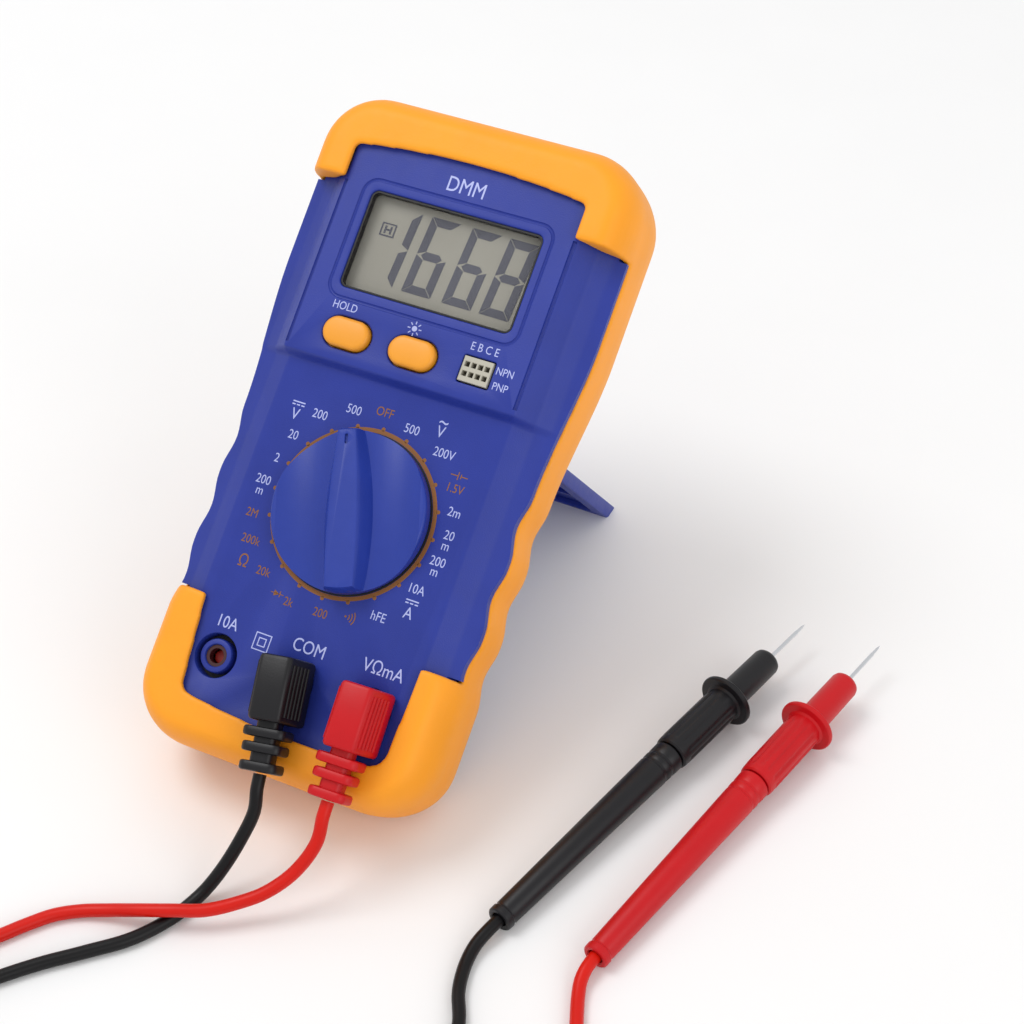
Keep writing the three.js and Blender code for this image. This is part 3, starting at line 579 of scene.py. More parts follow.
def plug_place(lead):
    return turned_in(FACE, JACKS_X[lead["jack"]], JACK_Y, lead["turn"])


def probe_place(lead):
    at = Matrix.Translation(lead["probe"]["end"])
    turn = Matrix.Rotation(math.radians(lead["probe"]["turn"]), 4, "Z")
    pitch = Matrix.Rotation(math.radians(PROBE["pitch"]), 4, "X")
    return FLAT @ at @ turn @ pitch


def route(lead):
    """The whole centreline of a lead in mm in the row frame, from its plug into its probe's handle."""
    to_row = FLAT.inverted() @ plug_place(lead)
    from_plug = [to_row @ Vector((0, PLUG["tail"] - out, PLUG["axis_z"])) for out in (GAP, 3.2)]
    to_row = FLAT.inverted() @ probe_place(lead)
    in_handle = [to_row @ Vector((0, PROBE["cord_in"] * share, 0)) for share in (0, 0.5, 1)]
    out, back = ([(*point, FLOOR_Z)[:3] for point in lead[part]] for part in ("out", "back"))
    return spline([*from_plug, *out, *coil_points(**lead["coil"]), *back, *in_handle], spacing=1.1)


def make_cord(colour, lead):
    line = route(lead)
    length = sum((b - a).length for a, b in zip(line, line[1:])) * MM
    cord = finished(tube(line, CORD_R, 12), colour + "_lead_cord", FLAT, lead["material"], None,
                    colour + "_cord", smooth=80)
    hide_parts(*(f"{colour}_cord_{stretch}" for stretch in ("out", "coil", "back")))
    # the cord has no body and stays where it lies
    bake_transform(cord)


# ---------------- plugs and probes


def plug_body():
    """A squat moulded plug: ribbed sloping sides, three flanges and a neck that the cord comes out of."""
    axis, y0, y1 = PLUG["axis_z"], PLUG["bottom"], PLUG["top"]
    foot_x, shoulder_z, top_x, top_z = 4.8, 3.4, 3.2, 9.9
    right = [(foot_x, GAP), (foot_x, shoulder_z), (top_x, top_z)]
    section = filleted([(-foot_x, GAP), *right, (-top_x, top_z), (-foot_x, shoulder_z)], 0.9)
    ends = [(y0, -0.6), (y0 + 0.25, -0.2), (y0 + 0.7, 0), (y1 - 0.8, 0), (y1 - 0.25, -0.25), (y1, -0.8)]
    body = stack_y(scaled_outline(section), ends)
    ribs = []
    for row in range(5):
        z = shoulder_z + 0.5 + 1.1 * row
        x = foot_x - (z - shoulder_z) * (foot_x - top_x) / (top_z - shoulder_z)
        ribs += [tube([(side * x, y0 + 1.2, z), (side * x, y1 - 1.4, z)], 0.32, 8) for side in (-1, 1)]
    neck = stack_y(rounded(-2.3, 2.3, axis - 2.1, axis + 2.1, 1.3, 5), [(PLUG["tail"] + 0.4, 0), (y0 + 1, 0)])
    flanges = []
    for y, half_x, half_z in ((-11.4, 4.4, 3.3), (-14.3, 4.1, 3.2), (PLUG["tail"], 3.9, 3.1)):
        outline = rounded(-half_x, half_x, axis - half_z, axis + half_z, 1.6, 6)
        rim = [(y, -0.5), (y + 0.15, -0.15), (y + 0.5, 0), (y + 1.4, 0), (y + 1.75, -0.15), (y + 1.9, -0.5)]
        flanges.append(stack_y(outline, rim))
    return joined(body, neck, *flanges, *ribs)


def probe_handle():
    """Slightly tapered, with a small collar where the cord goes in and two fine grooves near the grip."""
    length = PROBE["handle"]
    thin, thick, groove = 2.6, 3.4, 0.18
    collar = [(1.8, 0), (2.4, 0), (2.65, 0.25), (2.7, 0.6), (2.7, 1.5), (2.45, 1.8), (2.45, 2.2), (thin, 2.5)]
    outside = [(1.6, 43), (1.6, 0.2), *collar]
    for y in (length - 5, length - 3):
        r = thin + (thick - thin) * y / length
        outside += [(r, y - 0.5), (r - groove, y - 0.25), (r - groove, y + 0.25), (r, y + 0.5)]
    return ring_about_y([*outside, (thick, length - 0.35), (3.1, length), (2.3, length), (2.3, 44)])


def probe_grip():
    """The grip with its lengthwise flutes, the thin finger guard and the nose."""
    sides, flutes = 96, 12
    guard, front = PROBE["guard"], PROBE["front"]
    start = PROBE["handle"] + GAP
    profile = [(2, PROBE["cord_in"] + GAP, 0), (2, start, 0), (3.3, start, 0), (3.65, start + 0.3, 0),
               (3.75, start + 1, 0), (3.75, start + 1.8, 0), (3.8, start + 2.4, 0.3), (3.8, guard - 2.4, 0.3),
               (3.75, guard - 1.8, 0), (3.75, guard - 0.5, 0), (4.2, guard - 0.1, 0), (5.6, guard, 0),
               (5.85, guard + 0.25, 0), (5.9, guard + 0.6, 0), (5.85, guard + 0.95, 0), (5.6, guard + 1.2, 0),
               (3.6, guard + 1.5, 0), (3.2, guard + 2.2, 0), (3.1, guard + 3, 0), (3, front - 1.2, 0),
               (2.8, front - 0.5, 0), (2.4, front - 0.12, 0), (1.9, front, 0), (0.7, front, 0)]
    angles = full_turn(sides)
    rings = []
    for radius, y, depth in profile:
        radii = [radius - depth * max(0.0, math.cos(flutes * a)) ** 0.5 for a in angles]
        rings.append([(r * math.cos(a), y, r * math.sin(a)) for r, a in zip(radii, angles)])
    return loft(rings)


def probe_needle():
    """The needle from inside the nose to its point."""
    start, tip, radius = 76.4, PROBE["tip"], 0.42
    point = [(radius, tip - 3), (0.34, tip - 2.7), (0.28, tip - 1), (0.04, tip)]
    return lathe([(0, start), (radius, start), *point], 24)


def make_lead(colour, lead):
    plug, probe = plug_place(lead), probe_place(lead)
    jack, slot = lead["jack"], colour + "_plastic"
    pieces = [
        finished(plug_body(), colour + "_plug", plug, lead["plastic"], jack + "_plug", slot,
                 [jack + "_plug_body"]),
        finished(probe_handle(), colour + "_handle", probe, lead["plastic"], "meter", slot,
                 [colour + "_probe_handle"]),
        finished(probe_grip(), colour + "_grip", probe, lead["plastic"], "meter", slot,
                 [colour + "_probe_grip"]),
        finished(probe_needle(), colour + "_needle", probe, NEEDLE, "meter", "needle_steel",
                 [colour + "_probe_needle"]),
        frame["nodes"][jack + "_plug_pin"],
    ]
    make_cord(colour, lead)


for colour, lead in LEADS.items():
    make_lead(colour, lead)

# ---------------- outlines of the body


def half_width(y):
    """Half width at height y: wide head, narrower grip, three finger grooves."""
    away = min(abs(y - centre) for centre in SCALLOPS_Y) / SCALLOP_REACH
    groove = 0.5 * (1 + math.cos(math.pi * away)) if away < 1 else 0
    return HALF_GRIP + smoothstep(y, 14, 46) * (HALF_HEAD - HALF_GRIP) - SCALLOP_DEPTH * groove


def plan(inset=0.0):
    """The body's outline from the front, moved in by inset."""
    low, high = BOTTOM_Y + CORNER, TOP_Y - CORNER
    side_steps, corner_steps = 84, 12

    def outline(grow=0.0):
        shift = inset - grow
        radius = CORNER - shift
        right = []
        for centre_y, start in ((low, -90), (high, 0)):
            centre_x = half_width(centre_y) - CORNER
            for k in range(corner_steps + 1):
                angle = math.radians(start + 90 * k / corner_steps)
                right.append((centre_x + radius * math.cos(angle), centre_y + radius * math.sin(angle)))
            if start < 0:
                heights = [low + (high - low) * k / side_steps for k in range(1, side_steps)]
                right += [(half_width(y) - shift, y) for y in heights]
        return [*right, *((-x, y) for x, y in reversed(right))]

    return outline


def dished(z, height, inset, grow=0.0, steps=8):
    """Levels of a back edge rounded as a quarter ellipse that is height deep and inset wide."""
    angles = [math.pi / 2 * k / steps for k in range(steps + 1)]
    return [(z + height * (1 - math.cos(a)), grow - inset * (1 - math.sin(a))) for a in angles]


# Right half of the case's front across the dial, and across the display: (x, z).
DIAL_SECTION = [(HALF_HEAD + 2, -5), (31.2, -3.6), (28.6, -2.6), (24.4, 0)]
DISPLAY_SECTION = [(HALF_HEAD + 2, -5), (31.8, -3.4), (28.8, -1.6), (25.2, PANEL_Z)]


def with_lips(outline):
    """Adds the front shell's side lips, which lie over the holster's rims and are flush with its walls."""
    low, chamfer = RIM_Z + GAP, 0.3
    lips = stack(plan(0.25), [(low, -chamfer), (low + chamfer, 0), (HIGH_CAP_Z + 1, 0)])
    between_caps = block(-50, 50, LOW_CAP_Y + GAP, HIGH_CAP_Y - GAP, -9, 9)
    return joined(outline, shared(lips, between_caps))


def cap_edge(top, grow=0.0):
    """Levels of a front edge rounded, as a quarter ellipse, up to a cap's height."""
    return [(top + BACK_Z - z, inset) for z, inset in reversed(dished(BACK_Z, *CAP_EDGE, grow))]


def up_to_caps(outline, back, grow=0.0):
    """A body from its back levels up to each cap's height, with the caps' rounded front edges."""
    seam_y, overlap = 10, 0.1
    low_half = block(-50, 50, -90, seam_y, -70, 20)
    high_half = block(-50, 50, seam_y - overlap, 100, -70, 20)
    low = shared(stack(outline, [*back, *cap_edge(LOW_CAP_Z, grow)]), low_half)
    high = shared(stack(outline, [*back, *cap_edge(HIGH_CAP_Z, grow)]), high_half)
    return joined(low, high)


def front_form(grow, lips=False):
    """The outer form of the front shell, grown on every side: the dial panel, a ramp, the display panel."""
    steps = 8
    ramp = [(STEP_LOW_Y + (STEP_HIGH_Y - STEP_LOW_Y) * k / steps, k / steps) for k in range(steps + 1)]
    stops = [(BOTTOM_Y, 0), *ramp, (TOP_Y, 1)]
    rings = []
    for y, share in stops:
        up = smoothstep(share, 0, 1)
        right = [(x0 + (x1 - x0) * up + grow, z0 + (z1 - z0) * up + grow)
                 for (x0, z0), (x1, z1) in zip(DIAL_SECTION, DISPLAY_SECTION)]
        left = [(-x, z) for x, z in reversed(right)]
        section = [(right[0][0], SPLIT_Z), *right, *left, (-right[0][0], SPLIT_Z)]
        rings.append([(x, y - grow, z) for x, z in filleted(section, 0.5, 3)])
    outline = up_to_caps(plan(CASE_INSET), [(SPLIT_Z - 2, grow)], grow)
    return shared(loft(rings), with_lips(outline) if lips else outline)


def back_form(grow):
    """The outer form of the rear shell, grown on every side, up to a little over the parting line."""
    levels = dished(CASE_BACK_Z - grow, 13, 5.6, grow)
    shell = stack(plan(CASE_INSET), [*levels, (SPLIT_Z + 0.5, grow)])
    plateaus = [
        stack(rounded(-half_x, half_x, y0, y1, 3), [(PLATEAU_Z - 3 * grow, grow), (CASE_BACK_Z + 3, grow)])
        for half_x, y0, y1 in ((24.6, -44, 34), (26, 29, 62))
    ]
    return [shell, *plateaus]


# ---------------- holster


def below_table():
    """Everything under the table, in the leaning meter's frame."""
    table = solid(
        [(x, y, z) for x in (-0.1, 0.1) for y in (-0.2, 0.2) for z in (-0.05, 0)],
        [(0, 1, 3, 2), (4, 6, 7, 5), (0, 4, 5, 1), (2, 3, 7, 6), (0, 2, 6, 4), (1, 5, 7, 3)],
    )
    table.data.transform(FACE.inverted())
    return table


def curve_between(start, corner, end):
    """Points of a quadratic curve after its start."""
    steps = 8
    known = Vector(start), Vector(corner), Vector(end)
    return [bend(*known, k / steps) for k in range(1, steps + 1)]


def holster_opening():
    """Outline of the front opening between the two caps."""
    right = [(25.1, 0), (24.6, -24), (24, -40.6)]
    low = curve_between(right[-1], (23.8, -44), (20.4, -44.4))
    low += curve_between(low[-1], (0, -45.8), (-18.9, -43.4))
    low += curve_between(low[-1], (-20.9, -43.2), (-21.1, -41.2))
    top = curve_between((-25.1, 70), (0, 73.6), (25.1, 70))
    points = [*right, *low, (-23, -24), (-25.1, 0), (-25.1, 70), *top]
    return lambda grow: points


def holster():
    """The rubber boot: deep caps over both ends, low rims along the sides and a window in its back."""
    boot = cut(
        up_to_caps(plan(), dished(BACK_Z, 15, 6)),
        front_form(GAP),
        *back_form(GAP),
        block(-50, 50, LOW_CAP_Y, HIGH_CAP_Y, RIM_Z, 20),
        stack(holster_opening(), [(-2, 0), (20, 0)]),
        below_table(),
    )
    return softened(boot, voxel=0.55, passes=4)


finished(holster(), "rubber_holster", FACE, RUBBER, "meter", "orange_rubber", ["holster"], smooth=80)

# ---------------- front shell

INSIDE_Z = -3  # a level inside the front shell that its holes start from
MOAT = {"inner": 3.4, "outer": 4.4, "floor": -3.2}  # ring groove round each jack


def panel_grooves():
    """The round-cornered groove round the display and the upright one on each side of its panel."""
    bezel = [(x, y, PANEL_Z + 0.1) for x, y in rounded(-20.7, 20.7, 39.6, 64.3, 3)()]
    low, high, z = STEP_HIGH_Y + 0.8, HIGH_CAP_Y - 0.2, PANEL_Z - 0.15
    uprights = [tube([(x, low, z), (x, high, z)], 0.45, 10) for x in (-25, 25)]
    return [tube(bezel, 0.4, 10, cyclic=True), *uprights]


def jack_cutters():
    """A ring groove and a stepped bore for each jack."""
    inner, outer, floor = MOAT["inner"], MOAT["outer"], MOAT["floor"]
    moat = [(outer, floor), (outer, -0.35), (outer + 0.1, -0.12), (outer + 0.4, 0.05), (outer + 0.4, 6),
            (2.2, 6), (2.2, -0.15), (2.9, -0.15), (3.2, -0.25), (inner - 0.02, -0.5), (inner, -0.8),
            (inner, floor)]
    bore = [(-9, 0.6), (-0.8, 0.6), (-0.75, 0), (-0.4, 0), (-0.2, 0.15), (5, 0.5)]
    rings = [ring_about_z(moat, x, JACK_Y) for x in JACKS_X.values()]
    return rings + [stack(circle(2.2, x, JACK_Y), bore) for x in JACKS_X.values()]


def button_outline(x, margin=0.0, steps=8):
    """A stadium round the button at x."""
    half_x, half_y = BUTTON_HALF_X + margin, BUTTON_HALF_Y + margin
    return rounded(x - half_x, x + half_x, BUTTON_Y - half_y, BUTTON_Y + half_y, half_y, steps)


def front_shell():
    """The face with its panels, and every opening and groove in them."""
    shell = cut(front_form(0, lips=True), front_form(-WALL))
    bosses = [post(5.3, x, JACK_Y, -4.4, -1) for x in JACKS_X.values()]
    view = rounded(-VIEW["half_x"], VIEW["half_x"], VIEW["low_y"], VIEW["high_y"], 1.6)
    socket = rounded(11.6, 18.4, 30.3, 35.9, 0.4)
    buttons = [button_outline(x, GAP) for x in BUTTONS_X.values()]
    dial_shaft = post(7, 0, 0, INSIDE_Z, 5)
    return cut(
        joined(shell, *bosses),
        hole(view, INSIDE_Z, PANEL_Z),
        *panel_grooves(),
        *(hole(button, INSIDE_Z, PANEL_Z) for button in buttons),
        hole(socket, INSIDE_Z, PANEL_Z, 0.25),
        dial_shaft,
        *jack_cutters(),
    )


finished(front_shell(), "front_shell", FACE, BLUE, "meter", "blue_plastic", ["front_case"])


def flat_ring(inner, outer, low, high, x=0.0, y=0.0, sides=64):
    return ring_about_z([(inner, low), (outer, low), (outer, high), (inner, high)], x, y, sides)


def gap_shade_rings():
    """Painted shade down the gaps: a near-black ring round the knob, and one at the bottom of each jack's ring
    groove.
    """
    inner, outer, floor = MOAT["inner"] + 0.05, MOAT["outer"] - 0.05, MOAT["floor"]
    rings = [flat_ring(inner, outer, floor + 0.05, floor + 0.2, x, JACK_Y) for x in JACKS_X.values()]
    return joined_loose([flat_ring(DIAL_R - 1, DIAL_R + GAP, -0.2, 0.04, sides=128), *rings])


def view_liner():
    """The black edge of the display's opening."""
    outer, thick = rounded(-18.7, 18.7, 41.9, 62.2, 1.5), 0.35
    return cut(stack(outer, [(0.45, 0), (2.1, 0)]), stack(outer, [(-1, -thick), (5, -thick)]))


def jack_core():
    """The red bottom that shows in the open jack."""
    return stack(circle(1.45, JACKS_X["10a"], JACK_Y), [(-4, 0), *quarter(-2.6, 0.5, 1)])


def jack_bore():
    """The wall of the open jack, in a darker red than its bottom that paints the shade inside the bore."""
    return flat_ring(1.5, 2.16, -2.5, -0.6, JACKS_X["10a"], JACK_Y)


# painted shade in the gap round the knob and in the jacks' ring grooves
finished(gap_shade_rings(), "painted_shade_gaps", FACE, GAP_SHADE, "meter", "black_plastic")
finished(view_liner(), "display_edge", FACE, BLACK, "meter", "black_plastic")
finished(jack_core(), "jack_core", FACE, CORE_RED, "meter", "red_plastic")
finished(jack_bore(), "jack_bore", FACE, JACK_WALL_SHADE, "meter", "red_plastic")

# ---------------- rear shell and kickstand


def case_screw_places():
    """Middle of each case screw in the meter's frame."""
    middles = [sum(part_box(f"case_screw_{k}"), Vector()) / 2 for k in (1, 2, 3, 4)]
    return [tuple((FACE.inverted() @ middle).xy) for middle in middles]


def hinge_bore(half_x):
    """The kickstand's pin hole, as a cutter that reaches half_x to each side."""
    return tube([(-half_x, HINGE_Y, HINGE_Z), (half_x, HINGE_Y, HINGE_Z)], 1.2, 16)


def rear_shell():
    """The deep shell: the stand's pocket, the battery door with its thumb grip, and four screw wells."""
    half, low, high, floor = POCKET
    side_wall, door_half, thumb_z = 1.6, 24.6, PLATEAU_Z + 0.5
    inside = stack(plan(CASE_INSET + WALL), [*dished(CASE_BACK_Z + WALL, 11.2, 5.6), (SPLIT_Z + 1, 0)])
    around_pocket = block(-half - side_wall, half + side_wall, low - side_wall, high + side_wall, -30,
                          floor + WALL)
    inside = cut(inside, around_pocket)
    wells = case_screw_places()
    columns = [post(4.4, x, y, -21.5, SPLIT_Z - GAP) for x, y in wells]
    shell = joined(cut(joined(*back_form(0)), inside), *columns)
    stand_pocket = stack(rounded(-half, half, low, high, 1.2), [(-40, 0), (floor - 0.4, 0), (floor, -0.4)])
    battery_bay = block(-door_half, door_half, 30.4, 58.6, -24.6, -12)
    door = [(x, y, PLATEAU_Z) for x, y in rounded(-door_half, door_half, 31, 60.6, 2.5)()]
    thumb = stack(rounded(-8, 8, 53.4, 58.4, 2.4), [(-30, 0.6), (PLATEAU_Z, 0.4), (thumb_z, 0)])
    shell = cut(
        shell,
        block(-60, 60, -90, 90, SPLIT_Z - GAP, 20),
        stand_pocket,
        battery_bay,
        tube(door, 0.4, 8, cyclic=True),
        thumb,
        *(post(3, x, y, -40, -19) for x, y in wells),
        *(post(1.5, x, y, -20, 0) for x, y in wells),
        hinge_bore(half + 0.9),
    )
    ridges = [tube([(-5.5, y, thumb_z), (5.5, y, thumb_z)], 0.35, 8) for y in (54.7, 55.9, 57.1)]
    return joined(shell, *ridges)


def kickstand():
    """A plate with rounded foot corners, ribs in its hollow side and a sunk panel on the other."""
    half_x, half_y, tip = 22.8, 1.6, HINGE_Z - 66
    y0, y1 = HINGE_Y - half_y, HINGE_Y + half_y
    edge = [(y0, -0.45), (y0 + 0.12, -0.15), (y0 + 0.45, 0), (y1 - 0.45, 0), (y1 - 0.12, -0.15), (y1, -0.45)]
    plate = stack_y(rounded(-half_x, half_x, tip, HINGE_Z - 1, 1.5, 6), edge)
    barrel = tube([(-half_x, HINGE_Y, HINGE_Z), (half_x, HINGE_Y, HINGE_Z)], 1.9, 32)
    hollow_edge = [(y0 - 5, 0.3), (y0, 0.3), (y0 + 0.3, 0), (y0 + 1.4, 0)]
    hollow = stack_y(rounded(-19.6, 19.6, tip + 6, HINGE_Z - 4, 2.5, 6), hollow_edge)
    panel_edge = [(y1 - 0.5, 0), (y1, 0.3), (y1 + 5, 0.3)]
    panel = stack_y(rounded(-17.5, 17.5, tip + 14, HINGE_Z - 8, 3, 6), panel_edge)
    grip = [tube([(-9, y1 + 0.1, tip + up), (9, y1 + 0.1, tip + up)], 0.5, 12) for up in (7.5, 9.2, 10.9)]
    plate = cut(joined(plate, barrel), hollow, panel, *grip)
    rib_low, rib_high, rib_half = y0 + 0.3, y0 + 1.5, 0.5
    ribs = [block(x - rib_half, x + rib_half, rib_low, rib_high, tip + 5.5, HINGE_Z - 3.5)
            for x in (-9.8, 0, 9.8)]
    ribs += [block(-20, 20, rib_low, rib_high, z - rib_half, z + rib_half)
             for z in (HINGE_Z - 24, HINGE_Z - 43)]
    return cut(joined(plate, *ribs), hinge_bore(30), below_table())


finished(rear_shell(), "rear_shell", FACE, BLUE, "meter", "blue_plastic", ["rear_case"])
finished(kickstand(), "folding_stand", FACE, BLUE, "kickstand", "blue_plastic", ["kickstand"])

# ---------------- knob and buttons


def ridge_outline(grow):
    """The knob's ridge from above: widest in the middle and narrowest at its pointing end."""
    reach, steps, slimming = DIAL_R + 1, 24, 0.035
    right = []
    for k in range(steps + 1):
        y = -reach + 2 * reach * k / steps
        bulge = max(0.0, 1 - (y / DIAL_R) ** 2)
        right.append((2.5 - slimming * y + (0.8 + 0.45 * grow) * bulge + 0.55 * grow, y))
    return [*right, *((-x, y) for x, y in reversed(right))]


def knob():
    """A disc scooped out on both sides of a ridge, with a groove for a pointer."""
    disc = stack(circle(DIAL_R, steps=32), [(0.4, -0.15), (0.6, 0), *quarter(3.4, 0.7, 1)])
    scoops = [tube([(x, -40, 14.6), (x, 40, 14.6)], 13, 160) for x in (-8.2, 8.2)]
    levels = [(1, 1.9), (2.2, 1.5), (3.2, 1), (4.2, 0.5), (5, 0.1), (5.5, -0.2), (5.74, -0.45), (5.8, -0.8)]
    ridge = stack(ridge_outline, levels)
    ridge = shared(ridge, stack(circle(DIAL_R - 0.1, steps=32), [(0, 0), (4.8, 0), (5.8, -0.5)]))
    made = joined(cut(disc, *scoops), ridge)
    pointer = stack(rounded(-0.35, 0.35, 12.6, 14.6, 0.3), [(5.3, 0), (7, 0)])
    cut(made, pointer)
    bevel(made, 0.35, 28)
    applied(made)
    return made


def button(x):
    """A stadium with a rounded top, over the flange that keeps it in the face."""
    top = stack(button_outline(x, steps=12), [(-1.2, 0), *quarter(3.8, 0.9, 1), (3.9, -2)])
    flange = stack(button_outline(x, margin=1), [(-0.6, 0), (0.4, 0)])
    return joined(top, flange)


dial_place = FACE @ Matrix.Rotation(math.radians(DIAL_TURN), 4, "Z")
finished(knob(), "range_knob", dial_place, KNOB, "dial", "knob_plastic", ["dial_knob"], smooth=30)
for name, x in BUTTONS_X.items():
    finished(button(x), name + "_cap", FACE, BUTTON, name + "_button", "button_plastic", [name + "_button"])

# ---------------- display digits

SEGMENTS = {"1": "bc", "6": "acdefg", "8": "abcdefg"}
DIGITS = [("1", -15.5), ("6", -7), ("6", 1.9), ("8", 10.1)]  # and the left edge of each
CELL = {"wide": 6.4, "low": 44.7, "high": 60.7, "half": 0.84, "slant": 1 / 15.8}


def lit(points):
    """A thin dark shape on the display's glass."""
    return slab(points, -0.68, -0.6)


def digit_bars(left):
    """The seven bars of a digit as outlines: mitred at the corners and pointed in the middle."""
    half, gap = CELL["half"], 0.1
    x0, x1 = left + half, left + CELL["wide"] - half
    y0, y2 = CELL["low"] + half, CELL["high"] - half
    y1 = (y0 + y2) / 2

    def lying(y, out):
        near, far = y - out * half, y + out * half
        return [(x0 - half + gap, far), (x1 + half - gap, far), (x1 - half - gap, near),
                (x0 + half + gap, near)]

    def upright(x, out, end, up):
        near, far = x - out * half, x + out * half
        return [(far, y1 + up * gap), (far, end + up * (half - gap)), (near, end - up * (half + gap)),
                (near, y1 + up * (half + gap))]

    middle = [(x0 + gap, y1), (x0 + gap + half, y1 + half), (x1 - gap - half, y1 + half), (x1 - gap, y1),
              (x1 - gap - half, y1 - half), (x0 + gap + half, y1 - half)]
    return {
        "a": lying(y2, 1), "b": upright(x1, 1, y2, 1), "c": upright(x1, 1, y0, -1), "d": lying(y0, -1),
        "e": upright(x0, -1, y0, -1), "f": upright(x0, -1, y2, 1), "g": middle,
    }


def digits():
    """The reading, with each digit leaning to the right."""
    bars = []
    for digit, left in DIGITS:
        outlines = digit_bars(left)
        bars += [lit([(x + (y - CELL["low"]) * CELL["slant"], y) for x, y in outlines[letter]])
                 for letter in SEGMENTS[digit]]
    return bars


def held_mark():
    """The boxed H that stands for a held reading."""
    x, y = -14.1, 55.7
    strokes = [(-1.6, 1.6, -1.4, -1.1), (-1.6, 1.6, 1.1, 1.4), (-1.6, -1.3, -1.1, 1.1), (1.3, 1.6, -1.1, 1.1),
               (-0.8, -0.4, -0.8, 0.8), (0.4, 0.8, -0.8, 0.8), (-0.4, 0.4, -0.2, 0.2)]
    return [lit([(x + x0, y + y0), (x + x1, y + y0), (x + x1, y + y1), (x + x0, y + y1)])
            for x0, x1, y0, y1 in strokes]


finished(joined_loose([*digits(), *held_mark()]), "display_digits", FACE, INK, "meter", "lcd_glass")

# ---------------- printing on the face

PRINT_THICK = 0.03
CAPITAL = 0.73  # a capital's height as a share of the font size

# Words on the dial's panel and on the display's panel: (text, x, y, height of a capital).
PALE = [
    ("500", -7.3, 19.3, 1.9), ("200", -13.8, 16.4, 1.9), ("20", -17.7, 11.0, 1.9), ("2", -19.3, 5.7, 1.9),
    ("200", -20.4, 0.8, 1.9), ("m", -20.4, -1.4, 1.9), ("V", -18.9, 15.0, 2.4), ("hFE", 12.3, -17.3, 1.9),
    ("10A", 17.7, -10.0, 1.9), ("200", 19.9, -3.7, 1.9), ("m", 19.9, -5.7, 1.9), ("20", 20.3, 1.7, 1.9),
    ("m", 20.3, -0.4, 1.9), ("2m", 19.7, 6.2, 1.9), ("200V", 13.6, 16.4, 1.9), ("500", 5.6, 19.0, 1.9),
    ("V", 11.4, 20.2, 2.4), ("~", 11.4, 22.3, 3), ("A", 17.8, -14.8, 2.4),
    ("10A", -17, -28, 2.5), ("COM", 1.1, -27.4, 2.7), ("VΩmA", 17, -26.6, 2.7),
]
BROWN = [
    ("OFF", -0.9, 20.6, 1.9), ("2M", -20.2, -6.1, 1.8), ("200k", -18.5, -11.2, 1.8),
    ("20k", -13.6, -16.3, 1.8), ("2k", -6.4, -20.3, 1.8), ("200", 0.7, -20.3, 1.8),
    ("Ω", -18.4, -15.6, 2.6), ("1.5V", 18.1, 10.6, 1.8),
]
PALE_ON_PANEL = [
    ("HOLD", -15.6, 38.0, 1.7), ("E B C E", 15.2, 37.7, 1.7), ("NPN", 20.7, 34.4, 1.6),
    ("PNP", 20.7, 31.4, 1.6), ("DMM", 0, 67.2, 3.2),
]
NARROW = 0.84  # the letters are a little condensed


def word(text, x, y, height, z):
    """Printed letters as a thin solid centred at (x, y) on the surface at z."""
    font = bpy.data.curves.new("word", "FONT")
    font.body = text
    font.size = height / CAPITAL
    font.align_x, font.align_y = "CENTER", "CENTER"
    font.extrude = PRINT_THICK
    font.resolution_u = 4
    mesh = evaluated_mesh(linked("word", font))
    bpy.data.curves.remove(font)
    mesh.transform(Matrix.Translation((x, y, z)) @ Matrix.Diagonal((NARROW, 1, 1, 1)))
    return linked("word", mesh)


def flat(points, z=0.0):
    """A printed polygon on the surface at z."""
    return slab(points, z - PRINT_THICK, z + PRINT_THICK)


def bar_mark(x0, x1, y0, y1):
    return flat([(x0, y0), (x1, y0), (x1, y1), (x0, y1)])


def stop_dots(radius):
    """A dot at each of the dial's stops."""
    places = [(radius * math.cos(a + math.pi / 2), radius * math.sin(a + math.pi / 2))
              for a in full_turn(DIAL_STOPS)]
    return [flat(circle(0.42, x, y, 5)()) for x, y in places]


def direct_mark(x, y):
    """A line over three dashes, for direct current."""
    dashes = [bar_mark(x + shift - 0.35, x + shift + 0.35, y - 0.45, y - 0.2) for shift in (-1, 0, 1)]
    return [bar_mark(x - 1.35, x + 1.35, y + 0.15, y + 0.4), *dashes]


def battery_mark(x, y):
    """A long and a short plate between two leads."""
    bars = [(-1.8, -0.3, 0.1), (-0.3, -0.1, 0.8), (0.3, 0.5, 0.45), (0.5, 1.8, 0.1)]  # ends, half height
    return [bar_mark(x + left, x + right, y - half, y + half) for left, right, half in bars]


def double_square(x, y, size):
    """The square within a square that marks double insulation."""
    line = 0.22
    frames = []
    for outer in (size / 2, size / 4):
        inner = outer - line
        for low, high in ((inner, outer), (-outer, -inner)):
            frames.append(bar_mark(x - outer, x + outer, y + low, y + high))
            frames.append(bar_mark(x + low, x + high, y - inner, y + inner))
    return frames


def sun(x, y):
    """A small sun over the backlight button."""
    ray = [(0.9, -0.1), (1.5, -0.1), (1.5, 0.1), (0.9, 0.1)]  # along the ray and across it
    rays = []
    for a in full_turn(8):
        c, s = math.cos(a), math.sin(a)
        rays.append(flat([(x + along * c - across * s, y + along * s + across * c) for along, across in ray],
                         PANEL_Z))
    return [flat(circle(0.55, x, y)(), PANEL_Z), *rays]


def diode(x, y):
    """A triangle that points at a bar, on a wire."""
    half, left, right = 0.6, x - 0.7, x + 0.5
    triangle = flat([(left, y - half), (right, y), (left, y + half)])
    bar = bar_mark(right, right + 0.2, y - half, y + half)
    wire = bar_mark(x - 1.4, x + 1.4, y - 0.08, y + 0.08)
    return [triangle, bar, wire]


